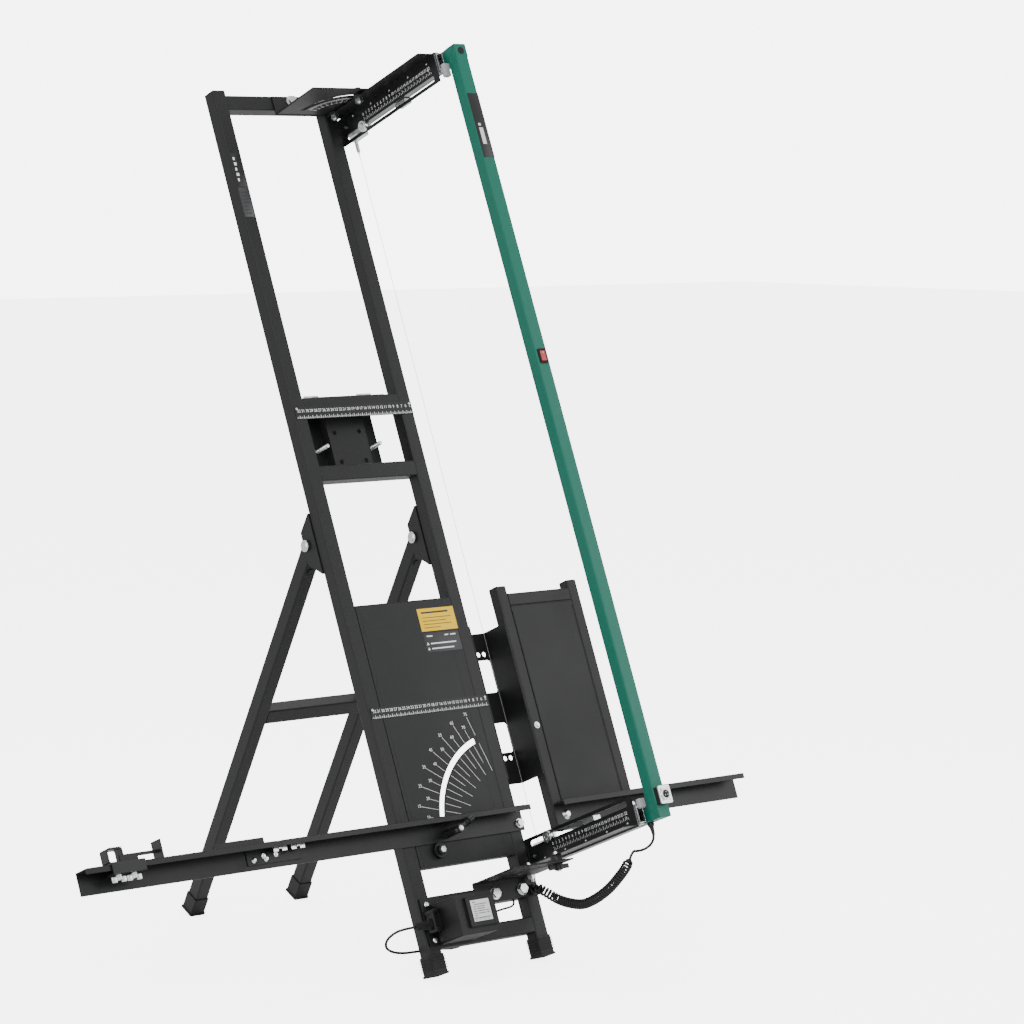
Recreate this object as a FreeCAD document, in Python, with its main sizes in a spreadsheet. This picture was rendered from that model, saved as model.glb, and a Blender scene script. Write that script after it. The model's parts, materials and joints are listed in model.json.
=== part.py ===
"""Hot-wire board cutter on a leaning stand, as one parametric document.

Board frame, in which every piece is drawn:
    x   to the right along the board
    u   up along the leaning board, 0 at the soles of the front feet
    n   out of the board's front, 0 at the front faces of the uprights
The board frame leans back about X. The model's own frame has +Z up, its floor at
z = 0 and its origin below the middle of the whole object.
"""
import FreeCAD, Part
import Sketcher
import math
import os
import re

os.makedirs("parts", exist_ok=True)
doc = FreeCAD.newDocument("BoardCutter")
Vector = FreeCAD.Vector
Rotation = FreeCAD.Rotation

# ---------------------------------------------------------------- driving sizes
sheet = doc.addObject("Spreadsheet::Sheet", "Sizes")
SIZES = {
    # stand
    "lean": 22.8, "frame_width": 290, "tube": 30, "tube_wall": 1.5, "tube_round": 3,
    "upright_height": 1760, "top_bar_low": 1722, "ruler_bar_low": 1097,
    "middle_bar_low": 959.5, "lower_bar_low": 114.5, "bottom_bar_low": 46.7,
    "cap_wall": 2, "cap_height": 38, "cap_rim": 1.5, "sole": 4, "plug_lip": 2,
    # sheet metal and rulers
    "sheet_metal": 2, "plate_metal": 3, "panel_low": 197.5, "panel_high": 710, "panel_return": 20,
    "ruler_thick": 1, "upper_ruler_low": 1084, "upper_ruler_height": 25,
    "lower_ruler_low": 489, "lower_ruler_height": 22,
    # rear stand
    "leg_pivot_u": 850.7, "leg_pivot_n": -58.5, "leg_splay": 27.5, "leg_width": 29, "leg_top": 20,
    "leg_bar_drop": 404, "hinge_gap": 0.5, "hinge_pin": 8, "pin_gap": 0.1, "leg_plug_drop": 51,
    # side frame and the bracket that leaves the wire gap open
    "wire_gap": 91, "side_tube": 25, "side_width": 207, "side_top": 721, "side_bar_top": 706.5,
    "side_bottom": 232, "throat": 70, "link_low": 344, "link_top": 648, "link_arm": 54,
    "link_middle_low": 467, "link_middle_high": 528, "link_relief": 14,
    # rails
    "rail_low": 241, "rail_high": 283, "rail_depth": 35, "rail_lip": 10, "rail_gap": 1.5,
    "rail_pivot_x": 140, "rail_pivot_u": 255, "inner_rail_left": -440, "outer_rail_left": -858,
    "left_rail_right": 150, "right_rail_right": 714, "splice": 60, "back_tab_height": 16,
    "arc_radius": 178, "arc_slot": 11, "arc_span": 73, "rest_disc": 29, "rest_disc_x": -65,
    "lever_stud": 8, "lever_length": 50, "lever_reach": "=rail_depth + 7", "lever_tilt": 25,
    # swing brackets and arms
    "bracket_left": -7, "bracket_depth": 130, "lower_plate_top": 155, "upper_plate_low": 1711,
    "swing_x": "=frame_width / 2 - 21", "swing_n": 17.5, "clamp_radius": 84, "swing_span": 80, "swing_bolt": 8,
    "arm_low": 167.5, "arm_top": 1706, "arm_height": 56.5, "arm_web_x": "=frame_width / 2 + 7", "arm_flange": 38,
    "arm_back": -8, "arm_front": 314, "arm_slot": 11, "arm_slot_in": 12, "arm_slot_margin": 14,
    "flange_round": 14,
    # telescopic slides
    "slide_height": 42, "slide_sheet": 1.2, "slide_play": 0.9, "slide_depth": 12, "slide_over": 3,
    # bow, wire and switch
    "bow_tube": 28, "bow_left": "=frame_width / 2 + 29", "bow_low": 169, "bow_high": 1710, "bow_front": 354,
    "bow_back": 0, "wire": 0.8, "wire_n": -14, "wire_block": 18, "spring_length": 24,
    "switch_u": 1070, "switch_width": 19, "switch_height": 29, "switch_rim": 2, "rocker_width": 12,
    "rocker_height": 20, "rocker_gap": 0.5, "socket_u": 208, "socket_width": 28,
    "socket_height": 34, "socket_box": 12, "socket_plate": 3,
    # transformer
    "base_left": "=5 - frame_width / 2", "base_width": 132.7, "base_low": 54, "base_high": 142, "base_thick": 4,
    "housing_left": -121, "housing_width": 88, "housing_low": 52, "housing_high": 128,
    "housing_front": 80, "frame_left": -101, "frame_long": 67, "frame_low": 64, "frame_high": 120,
    "frame_proud": 5, "shoulder": 16, "core_margin": 8,
    # accessory plate
    "accessory_half": 46, "accessory_n": -37, "accessory_hole_pitch": 60, "accessory_hole": 6.5,
    "accessory_low": 985, "accessory_wing": 42, "accessory_step": 25, "stud_x": 64.5,
    # cords
    "mains_cord": 5, "coil_middle": 56, "coil_wide": 2, "coil_high": 3, "coil_x": 63.7, "coil_y": 227.7,
    "coil_stub": 22, "plug_long": 36, "plug_width": 34, "plug_thick": 14, "plug_pin": 4,
    "pin_pitch": 19, "curl": 20, "lead": 5, "short_lead": 4,
    # place of the model's origin, measured from the finished solids below
    "centre_x": 0, "centre_y": 0,
}
for row, (alias, number) in enumerate(SIZES.items(), start=1):
    sheet.set(f"A{row}", alias)
    sheet.set(f"B{row}", str(number))
    sheet.setAlias(f"B{row}", alias)
doc.recompute()
WORD = re.compile(r"[a-z][a-z_]*")


def formula(text):
    """Write an expression on the sheet's cells: each alias gets the sheet's name."""
    return WORD.sub(lambda word: "Sizes." + word[0] if word[0] in SIZES else word[0], str(text))


def number(text):
    """The present value of such an expression."""
    return float(sheet.evalExpression(formula(text)))


def bind(obj, **expressions):
    """Bind each named property of an object to an expression."""
    for name, text in expressions.items():
        obj.setExpression(name.replace("__", "."), formula(text))


# Where a point of the board frame lies in the model's frame.
FOOT_BACK = "tube + cap_wall + cap_rim"
FLOOR_RISE = f"({FOOT_BACK}) * sin(lean * 1 deg)"


def depth_of(u, n):
    return f"(({u}) * sin(lean * 1 deg) - ({n}) * cos(lean * 1 deg) - centre_y)"


def height_of(u, n):
    return f"({FLOOR_RISE} + ({u}) * cos(lean * 1 deg) + ({n}) * sin(lean * 1 deg))"


# ---------------------------------------------------------------- shapes in the board frame
def place(obj, x, u, n, turn=None):
    """Put an object at (x, u, n); the board frame's n runs along -Y."""
    obj.Placement = FreeCAD.Placement(Vector(0, 0, 0), turn or Rotation())
    bind(obj, Placement__Base__x=x, Placement__Base__y=f"-({n})", Placement__Base__z=u)
    return obj


def box(name, x, u, n):
    """A box between two values each of x, u and n."""
    obj = doc.addObject("Part::Box", name)
    bind(obj, Length=f"({x[1]}) - ({x[0]})", Width=f"({n[1]}) - ({n[0]})", Height=f"({u[1]}) - ({u[0]})")
    return place(obj, x[0], u[0], n[1])


TURN_TO = {
    "x": Rotation(Vector(0, 1, 0), 90),
    "u": Rotation(),
    "n": Rotation(Vector(1, 0, 0), 90),
}


def rod(name, axis, at, diameter, length):
    """A round bar that starts at `at` = (x, u, n) and runs along +x, +u or +n."""
    obj = doc.addObject("Part::Cylinder", name)
    bind(obj, Radius=f"({diameter}) / 2", Height=length)
    return place(obj, *at, turn=TURN_TO[axis])


def hexagon(name, axis, at, across, length):
    """A hexagonal prism, such as a nut or a bolt's head."""
    obj = doc.addObject("Part::Prism", name)
    obj.Polygon = 6
    bind(obj, Circumradius=f"({across}) / sqrt(3)", Height=length)
    return place(obj, *at, turn=TURN_TO[axis])


def dome(name, axis, at, diameter, rise):
    """The low dome of a coach bolt: a cone with a small flat."""
    obj = doc.addObject("Part::Cone", name)
    bind(obj, Radius1=f"({diameter}) / 2", Radius2=f"({diameter}) / 4", Height=rise)
    return place(obj, *at, turn=TURN_TO[axis])


def rounded(blank, axis, radius):
    """Round the four edges of a box that run along an axis."""
    blank.recompute()
    along = {"x": Vector(1, 0, 0), "u": Vector(0, 0, 1), "n": Vector(0, 1, 0)}[axis]
    edges = []
    for index, edge in enumerate(blank.Shape.Edges, start=1):
        direction = edge.Vertexes[1].Point - edge.Vertexes[0].Point
        if direction.cross(along).Length < 1e-6 * direction.Length:
            edges.append((index, number(radius), number(radius)))
    obj = doc.addObject("Part::Fillet", blank.Name + "_round")
    obj.Base = blank
    obj.Edges = edges
    return obj


def cut(name, base, *tools):
    """Base less the tools."""
    tool = tools[0]
    if len(tools) > 1:
        tool = fuse(name + "_tools", *tools)
    obj = doc.addObject("Part::Cut", name)
    obj.Base = base
    obj.Tool = tool
    return obj


def fuse(name, *pieces):
    """One solid from several that meet."""
    obj = doc.addObject("Part::MultiFuse", name)
    obj.Shapes = list(pieces)
    obj.Refine = True
    return obj


def group(name, *pieces):
    """Separate solids that share a node."""
    obj = doc.addObject("Part::Compound", name)
    obj.Links = list(pieces)
    return obj


def tube(name, axis, x, u, n, wall="tube_wall", radius="tube_round"):
    """A square hollow section along an axis, with rounded edges and open ends."""
    outer = rounded(box(name + "_outer", x, u, n), axis, radius)
    sides = {"x": x, "u": u, "n": n}
    inner = {}
    for key, (low, high) in sides.items():
        step = wall if key != axis else "-1"
        inner[key] = (f"({low}) + {step}", f"({high}) - ({step})")
    hollow = box(name + "_hollow", inner["x"], inner["u"], inner["n"])
    return cut(name + "_section", outer, hollow)


def sector(name, axis, at, radius, width, first, span, start, length):
    """A curved slot: part of a ring about `at`, from an angle over a span, in degrees."""
    x, u, n = at
    base = {"n": (x, u, start), "u": (x, start, n)}[axis]
    outer = rod(name + "_outside", axis, base, f"2 * ({radius}) + {width}", length)
    inner = rod(name + "_inside", axis, base, f"2 * ({radius}) - ({width})", length)
    turn = TURN_TO[axis].multiply(Rotation(Vector(0, 0, 1), first))
    outer.Placement = FreeCAD.Placement(outer.Placement.Base, turn)
    bind(outer, Angle=span)
    return cut(name, outer, inner)


PLANES = {
    # the extrusion's axis, and the turn that lays the sketch's axes on the two that follow it
    "x": Rotation(Vector(0, 0, 1), Vector(0, -1, 0), Vector(1, 0, 0), "XYZ"),
    "u": Rotation(Vector(0, -1, 0), Vector(1, 0, 0), Vector(0, 0, 1), "XYZ"),
    "n": Rotation(Vector(1, 0, 0), Vector(0, 0, 1), Vector(0, -1, 0), "XYZ"),
}


def profile(name, axis, corners, start, length):
    """A PartDesign body: a closed outline of straight sides, padded along an axis.

    The corners are (u, n) for axis x, (n, x) for axis u and (x, u) for axis n.
    """
    body = doc.addObject("PartDesign::Body", name)
    sketch = body.newObject("Sketcher::SketchObject", name + "_outline")
    origin_plane = next(f for f in body.Origin.OriginFeatures if f.Role == "XY_Plane")
    sketch.AttachmentSupport = (origin_plane, [""])
    sketch.MapMode = "FlatFace"
    points = [Vector(number(a), number(b), 0) for a, b in corners]
    for i, point in enumerate(points):
        sketch.addGeometry(Part.LineSegment(point, points[(i + 1) % len(points)]), False)
    for i in range(len(points)):
        sketch.addConstraint(Sketcher.Constraint("Coincident", i, 2, (i + 1) % len(points), 1))
    for i, (a, b) in enumerate(corners):
        for kind, text, value in (("DistanceX", a, points[i].x), ("DistanceY", b, points[i].y)):
            index = sketch.addConstraint(Sketcher.Constraint(kind, -1, 1, i, 1, value))
            sketch.renameConstraint(index, f"{kind[-1].lower()}{i}")
            sketch.setExpression(f"Constraints.{kind[-1].lower()}{i}", formula(text))
    pad = body.newObject("PartDesign::Pad", name + "_pad")
    pad.Profile = sketch
    bind(pad, Length=length)
    body.Tip = pad
    offset = {"x": (start, "0", "0"), "u": ("0", start, "0"), "n": ("0", "0", start)}[axis]
    return place(body, *offset, turn=PLANES[axis])


# ---------------------------------------------------------------- nodes
nodes = {}


def node(label, shape):
    """Name a finished sub-part and lean it back with the board."""
    if shape.TypeId not in ("Part::Compound", "Part::MultiFuse", "Part::Cut"):
        shape = group(label + "_part", shape)
    shape.Label = label
    shape.Placement = FreeCAD.Placement(Vector(0, 0, 0), Rotation(Vector(-1, 0, 0), SIZES["lean"]))
    bind(shape, Placement__Base__x="-centre_x", Placement__Base__y="-centre_y",
         Placement__Base__z=FLOOR_RISE, Placement__Rotation__Angle="lean * 1 deg")
    nodes[label] = shape
    return shape


HALF = "frame_width / 2"
INSIDE = f"({HALF} - tube)"
SIDES = {"left": (f"-({HALF})", f"-{INSIDE}"), "right": (INSIDE, HALF)}
BAR_N = ("-tube", "0")


def middle(pair):
    return f"((({pair[0]}) + ({pair[1]})) / 2)"


# ---- stand: uprights, bars, plugs and feet
for side, span in SIDES.items():
    node(f"{side}_upright", tube(f"{side}_up", "u", span, ("sole", "upright_height"), BAR_N))

BARS = {"top": "top_bar_low", "ruler": "ruler_bar_low", "middle": "middle_bar_low",
        "lower": "lower_bar_low", "bottom": "bottom_bar_low"}
crossbars = {bar: tube(f"{bar}_bar", "x", (f"-{INSIDE}", INSIDE), (low, f"{low} + tube"), BAR_N)
             for bar, low in BARS.items()}
node("top_crossbar", crossbars["top"])
node("middle_crossbars", group("ruler_and_middle_bars", crossbars["ruler"], crossbars["middle"]))
node("lower_crossbars", group("lower_and_bottom_bars", crossbars["lower"], crossbars["bottom"]))


def end_plug(name, x):
    """Square plastic plug in an upright's open top, with a lip over the tube's edge."""
    lip = rounded(box(name + "_lip", x, ("upright_height", "upright_height + plug_lip"), BAR_N), "u",
                  "tube_round")
    stem_x = (f"({x[0]}) + tube_wall", f"({x[1]}) - tube_wall")
    stem = box(name + "_stem", stem_x, ("upright_height - 15", "upright_height + 1"),
               ("-tube + tube_wall", "-tube_wall"))
    return fuse(name, lip, stem)


end_plugs = [end_plug(f"plug_{s}", span) for s, span in SIDES.items()]


def foot(name, x, n, top, sole, floor="0"):
    """Square cap on a tube's end, with a rim round its sole."""
    wall_x = (f"({x[0]}) - cap_wall", f"({x[1]}) + cap_wall")
    wall_n = (f"({n[0]}) - cap_wall", f"({n[1]}) + cap_wall")
    rim_x = (f"({wall_x[0]}) - cap_rim", f"({wall_x[1]}) + cap_rim")
    rim_n = (f"({wall_n[0]}) - cap_rim", f"({wall_n[1]}) + cap_rim")
    wall = rounded(box(name + "_wall", wall_x, (floor, top), wall_n), "u", "tube_round")
    rim = rounded(box(name + "_rim", rim_x, (floor, f"({floor}) + {sole}"), rim_n), "u", "tube_round")
    pocket = box(name + "_pocket", x, (f"({floor}) + {sole}", f"({top}) + 1"), n)
    return cut(name, fuse(name + "_block", wall, rim), pocket)


front_feet = [foot(f"front_foot_{s}", span, BAR_N, "cap_height", "sole") for s, span in SIDES.items()]
node("upright_caps", group("caps_of_uprights", *end_plugs, *front_feet))

# ---- main panel: a folded tray between the uprights, with the curved slot for the rail's clamp
PANEL_U = ("panel_low", "panel_high")
panel_face = box("panel_face", (f"-{INSIDE}", INSIDE), PANEL_U, ("-sheet_metal", "0"))
panel_left = box("panel_left", (f"-{INSIDE}", f"-{INSIDE} + sheet_metal"), PANEL_U, ("-panel_return", "0"))
panel_right = box("panel_right", (f"{INSIDE} - sheet_metal", INSIDE), PANEL_U, ("-panel_return", "0"))
panel_top = box("panel_top", (f"-{INSIDE}", INSIDE), ("panel_high - sheet_metal", "panel_high"),
                ("-panel_return", "0"))
panel_foot = box("panel_foot", (f"-{INSIDE}", INSIDE), ("panel_low", "panel_low + sheet_metal"),
                 ("-panel_return", "0"))
arc_slot = sector("arc_slot_cut", "n", ("rail_pivot_x", "rail_pivot_u", "0"), "arc_radius", "arc_slot",
                  180 - SIZES["arc_span"], "arc_span + 2", "-sheet_metal - 1", "sheet_metal + 2")
node("main_panel", cut("panel", fuse("panel_tray", panel_face, panel_left, panel_right, panel_top,
                                     panel_foot), arc_slot))

RULER_X = (f"-({HALF}) + 4", f"{HALF} - 2")
rulers = [box(f"{which}_rule", RULER_X, (f"{which}_ruler_low", f"{which}_ruler_low + {which}_ruler_height"),
              ("0", "ruler_thick")) for which in ("upper", "lower")]
node("rulers", group("both_rulers", *rulers))

# ---- side frame: carried beyond the wire's gap by the link bracket
SIDE_LEFT = f"({HALF} + wire_gap)"
SIDE_RIGHT = f"({SIDE_LEFT} + side_width)"
SIDE_N = ("-side_tube", "0")
SIDE_IN = (f"{SIDE_LEFT} + side_tube", f"{SIDE_RIGHT} - side_tube")
side_left = tube("side_left", "u", (SIDE_LEFT, f"{SIDE_LEFT} + side_tube"), ("side_bottom", "side_top"), SIDE_N)
side_right = tube("side_right", "u", (f"{SIDE_RIGHT} - side_tube", SIDE_RIGHT), ("side_bottom", "side_top"), SIDE_N)
side_head = tube("side_head", "x", SIDE_IN, ("side_bar_top - side_tube", "side_bar_top"), SIDE_N)
side_foot = tube("side_foot", "x", SIDE_IN, ("side_bottom", "side_bottom + side_tube"), SIDE_N)
node("side_frame", group("side_frame_tubes", side_left, side_right, side_head, side_foot))
node("side_panel", box("side_sheet", SIDE_IN, ("side_bottom + side_tube", "side_bar_top - side_tube"),
                       ("-sheet_metal", "0")))

LINK_IN = f"({HALF})"
channel = profile("link_channel", "u", [
    ("-1", LINK_IN), ("-throat", LINK_IN), ("-throat", SIDE_LEFT), ("-1", SIDE_LEFT),
    ("-1", f"{SIDE_LEFT} - sheet_metal"), ("-throat + sheet_metal", f"{SIDE_LEFT} - sheet_metal"),
    ("-throat + sheet_metal", f"{LINK_IN} + sheet_metal"), ("-1", f"{LINK_IN} + sheet_metal")],
    "link_low", "link_top - link_low")
LINK_WEB_N = ("-throat - 1", "-throat + sheet_metal + 1")
WINDOW_X = (f"{LINK_IN} + 10", f"{SIDE_LEFT} - sheet_metal - 1")
window_low = rounded(box("window_low", WINDOW_X, ("link_low + link_arm + 9", "link_middle_low"), LINK_WEB_N),
                     "n", "6")
window_high = rounded(box("window_high", WINDOW_X, ("link_middle_high", "link_top - link_arm"), LINK_WEB_N),
                      "n", "6")
reliefs = []
for place_u, tag in (("link_low + link_arm - 2", "low"), ("link_top - link_arm + 12", "high")):
    for offset, which in (("28", "a"), ("14", "b")):
        reliefs.append(rod(f"relief_{tag}_{which}", "n", (f"{SIDE_LEFT} - {offset}", place_u, LINK_WEB_N[0]),
                           "link_relief - 4", "sheet_metal + 2"))
node("link_bracket", cut("link", channel, window_low, window_high, *reliefs))


# ---- rails: a flange on the board, a ledge that the foam stands on and a front lip
def rail(name, left, right, back):
    """Folded rail between two values of x, its flange standing off the board by `back`."""
    front = f"({back}) + rail_depth"
    return profile(name, "x", [
        ("rail_low", back), ("rail_high", back), ("rail_high", front), ("rail_high - rail_lip", front),
        ("rail_high - rail_lip", f"{front} - sheet_metal"), ("rail_high - sheet_metal", f"{front} - sheet_metal"),
        ("rail_high - sheet_metal", f"({back}) + sheet_metal"), ("rail_low", f"({back}) + sheet_metal")],
        left, f"({right}) - ({left})")


node("right_rail", rail("rail_right", SIDE_LEFT, "right_rail_right", "0"))

RAIL_BACK = "rail_gap"
RAIL_FACE = "(rail_gap + sheet_metal)"
inner_blank = rail("rail_inner", "inner_rail_left", "left_rail_right", RAIL_BACK)
pivot_hole = rod("rail_pivot_hole", "n", ("rail_pivot_x", "rail_pivot_u", "0"), "hinge_pin + 2 * pin_gap",
                 "rail_gap + sheet_metal + 1")
stud_hole = rod("lever_stud_hole", "n", ("rail_pivot_x - arc_radius", "rail_pivot_u", "0"),
                "lever_stud + 2 * pin_gap", "rail_gap + sheet_metal + 1")
node("inner_rail", cut("inner_rail_cut", inner_blank, pivot_hole, stud_hole))

# the outer rail carries a splice strap behind the inner one's ledge and a raised tab
outer_blank = rail("rail_outer", "outer_rail_left", "inner_rail_left", RAIL_BACK)
back_tab = box("back_tab", ("inner_rail_left - 120", "inner_rail_left - 12"),
               ("rail_high - 1", "rail_high + back_tab_height"), (RAIL_BACK, f"{RAIL_BACK} + sheet_metal"))
splice_strap = box("splice_strap", ("inner_rail_left - splice", "inner_rail_left + splice"),
                   ("rail_low + 9", "rail_high - sheet_metal - 4"), (RAIL_FACE, f"{RAIL_FACE} + sheet_metal"))
splice_ledge = box("splice_ledge", ("inner_rail_left - splice", "inner_rail_left + splice"),
                   ("rail_high - 2 * sheet_metal", "rail_high - sheet_metal"),
                   (RAIL_FACE, "rail_gap + rail_depth - 2 * sheet_metal"))
node("outer_rail", fuse("outer_rail_all", outer_blank, back_tab))
splice_web = box("splice_web", ("inner_rail_left - splice", "inner_rail_left + splice"),
                 ("rail_high - sheet_metal - 5", "rail_high - 2 * sheet_metal + 1"),
                 (RAIL_FACE, f"{RAIL_FACE} + sheet_metal"))
node("rail_splice", fuse("splice_all", splice_strap, splice_ledge, splice_web))


def machine_screw(name, x, u, face, diameter="6", head="11"):
    """Pan screw through a sheet, its head proud of the face."""
    shank = rod(name + "_shank", "n", (x, u, face), diameter, "3")
    top = dome(name + "_head", "n", (x, u, f"{face} + 0"), head, "4")
    return fuse(name, shank, top)


def wing_nut(name, x, u, n):
    """Wing nut on a stud below the ledge, its wings along the rail."""
    hub = rod(name + "_hub", "u", (x, f"({u}) - 9", n), "11", "9")
    wing_a = box(name + "_wing_a", (f"({x}) - 15", f"({x}) - 4"), (f"({u}) - 13", f"({u}) - 3"),
                 (f"({n}) - 1.5", f"({n}) + 1.5"))
    wing_b = box(name + "_wing_b", (f"({x}) + 4", f"({x}) + 15"), (f"({u}) - 13", f"({u}) - 3"),
                 (f"({n}) - 1.5", f"({n}) + 1.5"))
    return fuse(name, hub, wing_a, wing_b)


LEDGE_UNDER = "(rail_high - 2 * sheet_metal)"
SPLICE_FACE = f"({RAIL_FACE} + sheet_metal)"
splice_screws = [machine_screw("splice_screw_a", "inner_rail_left - 18", "rail_low + 18", SPLICE_FACE),
                 machine_screw("splice_screw_b", "inner_rail_left - 45", "rail_low + 18", SPLICE_FACE)]
wing_nuts = [wing_nut("splice_wing_a", "inner_rail_left + 4", LEDGE_UNDER, "rail_gap + 21"),
             wing_nut("splice_wing_b", "inner_rail_left + 44", LEDGE_UNDER, "rail_gap + 21")]
node("splice_fasteners", group("splice_hardware", *splice_screws, *wing_nuts))

# pivot bolt of the left rail, with its washers: fixed in the upright
pivot_shank = rod("rail_pin", "n", ("rail_pivot_x", "rail_pivot_u", "0"), "hinge_pin",
                  f"{RAIL_FACE} + pin_gap + 4")
pivot_spacer = cut("rail_spacer", rod("rail_spacer_disc", "n", ("rail_pivot_x", "rail_pivot_u", "0"), "10",
                                      "rail_gap - 0.2"),
                   rod("rail_spacer_bore", "n", ("rail_pivot_x", "rail_pivot_u", "-1"), "hinge_pin - 1", "4"))
pivot_washer = rod("rail_washer", "n", ("rail_pivot_x", "rail_pivot_u", f"{RAIL_FACE} + pin_gap"), "18", "1.6")
pivot_head = hexagon("rail_head", "n", ("rail_pivot_x", "rail_pivot_u", f"{RAIL_FACE} + pin_gap + 1.6"),
                     "13", "5.5")
node("rail_pivot_bolt", fuse("rail_bolt", pivot_shank, pivot_spacer, pivot_washer, pivot_head))

# the disc that the left rail comes down on
REST_U = "(rail_low - rest_disc / 2 - 0.3)"
rest_disc = rod("rest_disc_body", "n", ("rest_disc_x", REST_U, "0"), "rest_disc", "9")
rest_head = hexagon("rest_head", "n", ("rest_disc_x", REST_U, "9"), "17", "6")
node("rail_rest", fuse("rail_rest_all", rest_disc, rest_head))

# clamp lever: its stud runs through the rail and the curved slot to a nut behind the panel
LEVER_X = "(rail_pivot_x - arc_radius)"
lever_stud = rod("lever_stud_rod", "n", (LEVER_X, "rail_pivot_u", "-12"), "lever_stud", "12 + lever_reach")
lever_nut = hexagon("lever_nut", "n", (LEVER_X, "rail_pivot_u", "-sheet_metal - 7.5"), "17", "7")
lever_washer = rod("lever_washer", "n", (LEVER_X, "rail_pivot_u", f"{RAIL_FACE} + 0.3"), "18", "1.6")
lever_hub = rod("lever_hub", "n", (LEVER_X, "rail_pivot_u", f"{RAIL_FACE} + 1.9"), "16",
                f"lever_reach - {RAIL_FACE} + 6")
LEVER_ANGLE = "lever_tilt * 1 deg"


def lever_rod(name, start, diameter, length):
    """Round piece of the tilted handle, `start` along it from the stud."""
    obj = rod(name, "x", (f"{LEVER_X} + ({start}) * cos({LEVER_ANGLE})",
                          f"rail_pivot_u + ({start}) * sin({LEVER_ANGLE})", "lever_reach + 2"), diameter, length)
    bind(obj, Placement__Rotation__Angle="(90 - lever_tilt) * 1 deg")
    return obj


lever_arm = lever_rod("lever_arm", "-14", "9", "lever_length")
lever_tip = lever_rod("lever_tip", "lever_length - 22", "13", "12")
node("rail_clamp_lever", fuse("lever_all", lever_stud, lever_nut, lever_washer, lever_hub, lever_arm, lever_tip))

# ---- length stop on the outer rail: saddle over the ledge, fence plate, clamp plate and two wing nuts
STOP_LEFT = "(outer_rail_left + 52)"
STOP_RIGHT = "(outer_rail_left + 122)"
SADDLE_N = ("rail_gap + rail_depth + 0.4", "rail_gap + rail_depth + 3.4")
LEDGE_TOP = "(rail_high + 0.3)"
saddle_top = box("saddle_top", (STOP_LEFT, STOP_RIGHT), (LEDGE_TOP, f"{LEDGE_TOP} + 3"),
                 ("rail_gap + 3", SADDLE_N[1]))
saddle_front = box("saddle_front", (STOP_LEFT, STOP_RIGHT), ("rail_high - rail_lip - 4", f"{LEDGE_TOP} + 3"),
                   SADDLE_N)
saddle_under = box("saddle_under", (STOP_LEFT, STOP_RIGHT), ("rail_high - rail_lip - 7", "rail_high - rail_lip - 4"),
                   ("rail_gap + 12", SADDLE_N[1]))
loop_outer = rounded(box("loop_outer", (STOP_LEFT, f"{STOP_LEFT} + 34"), (f"{LEDGE_TOP} + 2", f"{LEDGE_TOP} + 30"),
                         ("rail_gap + 8", "rail_gap + 30")), "n", "5")
loop_inner = rounded(box("loop_inner", (f"{STOP_LEFT} + 3", f"{STOP_LEFT} + 31"),
                         (f"{LEDGE_TOP} + 5", f"{LEDGE_TOP} + 27"), ("rail_gap + 7", "rail_gap + 31")), "n", "3")
loop = cut("stop_loop", loop_outer, loop_inner)
stop_bar = box("stop_bar", (f"{STOP_LEFT} + 33", f"{STOP_RIGHT} + 44"), (f"{LEDGE_TOP} + 12", f"{LEDGE_TOP} + 18"),
               ("rail_gap + 16", "rail_gap + 19"))
fence = box("stop_fence", (f"{STOP_RIGHT} + 42", f"{STOP_RIGHT} + 45"), (LEDGE_TOP, f"{LEDGE_TOP} + 34"),
            ("rail_gap + 4", "rail_gap + 32"))
bar_web = box("stop_bar_web", (f"{STOP_LEFT} + 30", f"{STOP_RIGHT}"), (f"{LEDGE_TOP} + 2", f"{LEDGE_TOP} + 18"),
              ("rail_gap + 16", "rail_gap + 19"))
SADDLE_UNDER = "(rail_high - rail_lip - 7)"
stop_wings = [wing_nut("stop_wing_a", f"{STOP_LEFT} + 16", SADDLE_UNDER, "rail_gap + 26"),
              wing_nut("stop_wing_b", f"{STOP_LEFT} + 48", SADDLE_UNDER, "rail_gap + 26")]
stop_body = fuse("stop_body", saddle_top, saddle_front, saddle_under, loop, stop_bar, fence, bar_web)
node("length_stop", group("stop_all", stop_body, *stop_wings))


# ---- swing brackets: flange on a cross bar, plate square to the board with a curved slot
def swing_bracket(name, flange_u, plate_u):
    """Bracket that carries an arm's pivot and clamp bolts."""
    flange = box(name + "_flange", ("bracket_left", HALF), flange_u, ("0", "plate_metal"))
    plate = box(name + "_plate", ("bracket_left", "swing_x + 16"), plate_u, ("0", "bracket_depth"))
    hole = rod(name + "_pivot_hole", "u", ("swing_x", f"({plate_u[0]}) - 1", "swing_n"),
               "swing_bolt + 2 * pin_gap", "plate_metal + 2")
    # the slot runs from straight out of the board round towards -x
    slot = sector(name + "_slot", "u", ("swing_x", "0", "swing_n"), "clamp_radius", "swing_bolt + 2",
                  -90 - SIZES["swing_span"] - 4, "swing_span + 8", f"({plate_u[0]}) - 1", "plate_metal + 2")
    return cut(name, fuse(name + "_blank", flange, plate), hole, slot)


LOWER_PLATE = ("lower_plate_top - plate_metal", "lower_plate_top")
UPPER_PLATE = ("upper_plate_low", "upper_plate_low + plate_metal")
node("lower_swing_bracket", swing_bracket("lower_bracket", ("lower_bar_low", "lower_plate_top"), LOWER_PLATE))
node("upper_swing_bracket", swing_bracket("upper_bracket", ("upper_plate_low", "top_bar_low + 28"), UPPER_PLATE))


def hex_bolt(name, x, u, face, across="17"):
    """Bolt head with a washer, standing on a face that looks out along n."""
    washer = rod(name + "_washer", "n", (x, u, face), "22", "1.6")
    head = hexagon(name + "_head", "n", (x, u, f"{face} + 1.6"), across, "6.5")
    return fuse(name, washer, head)


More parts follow.
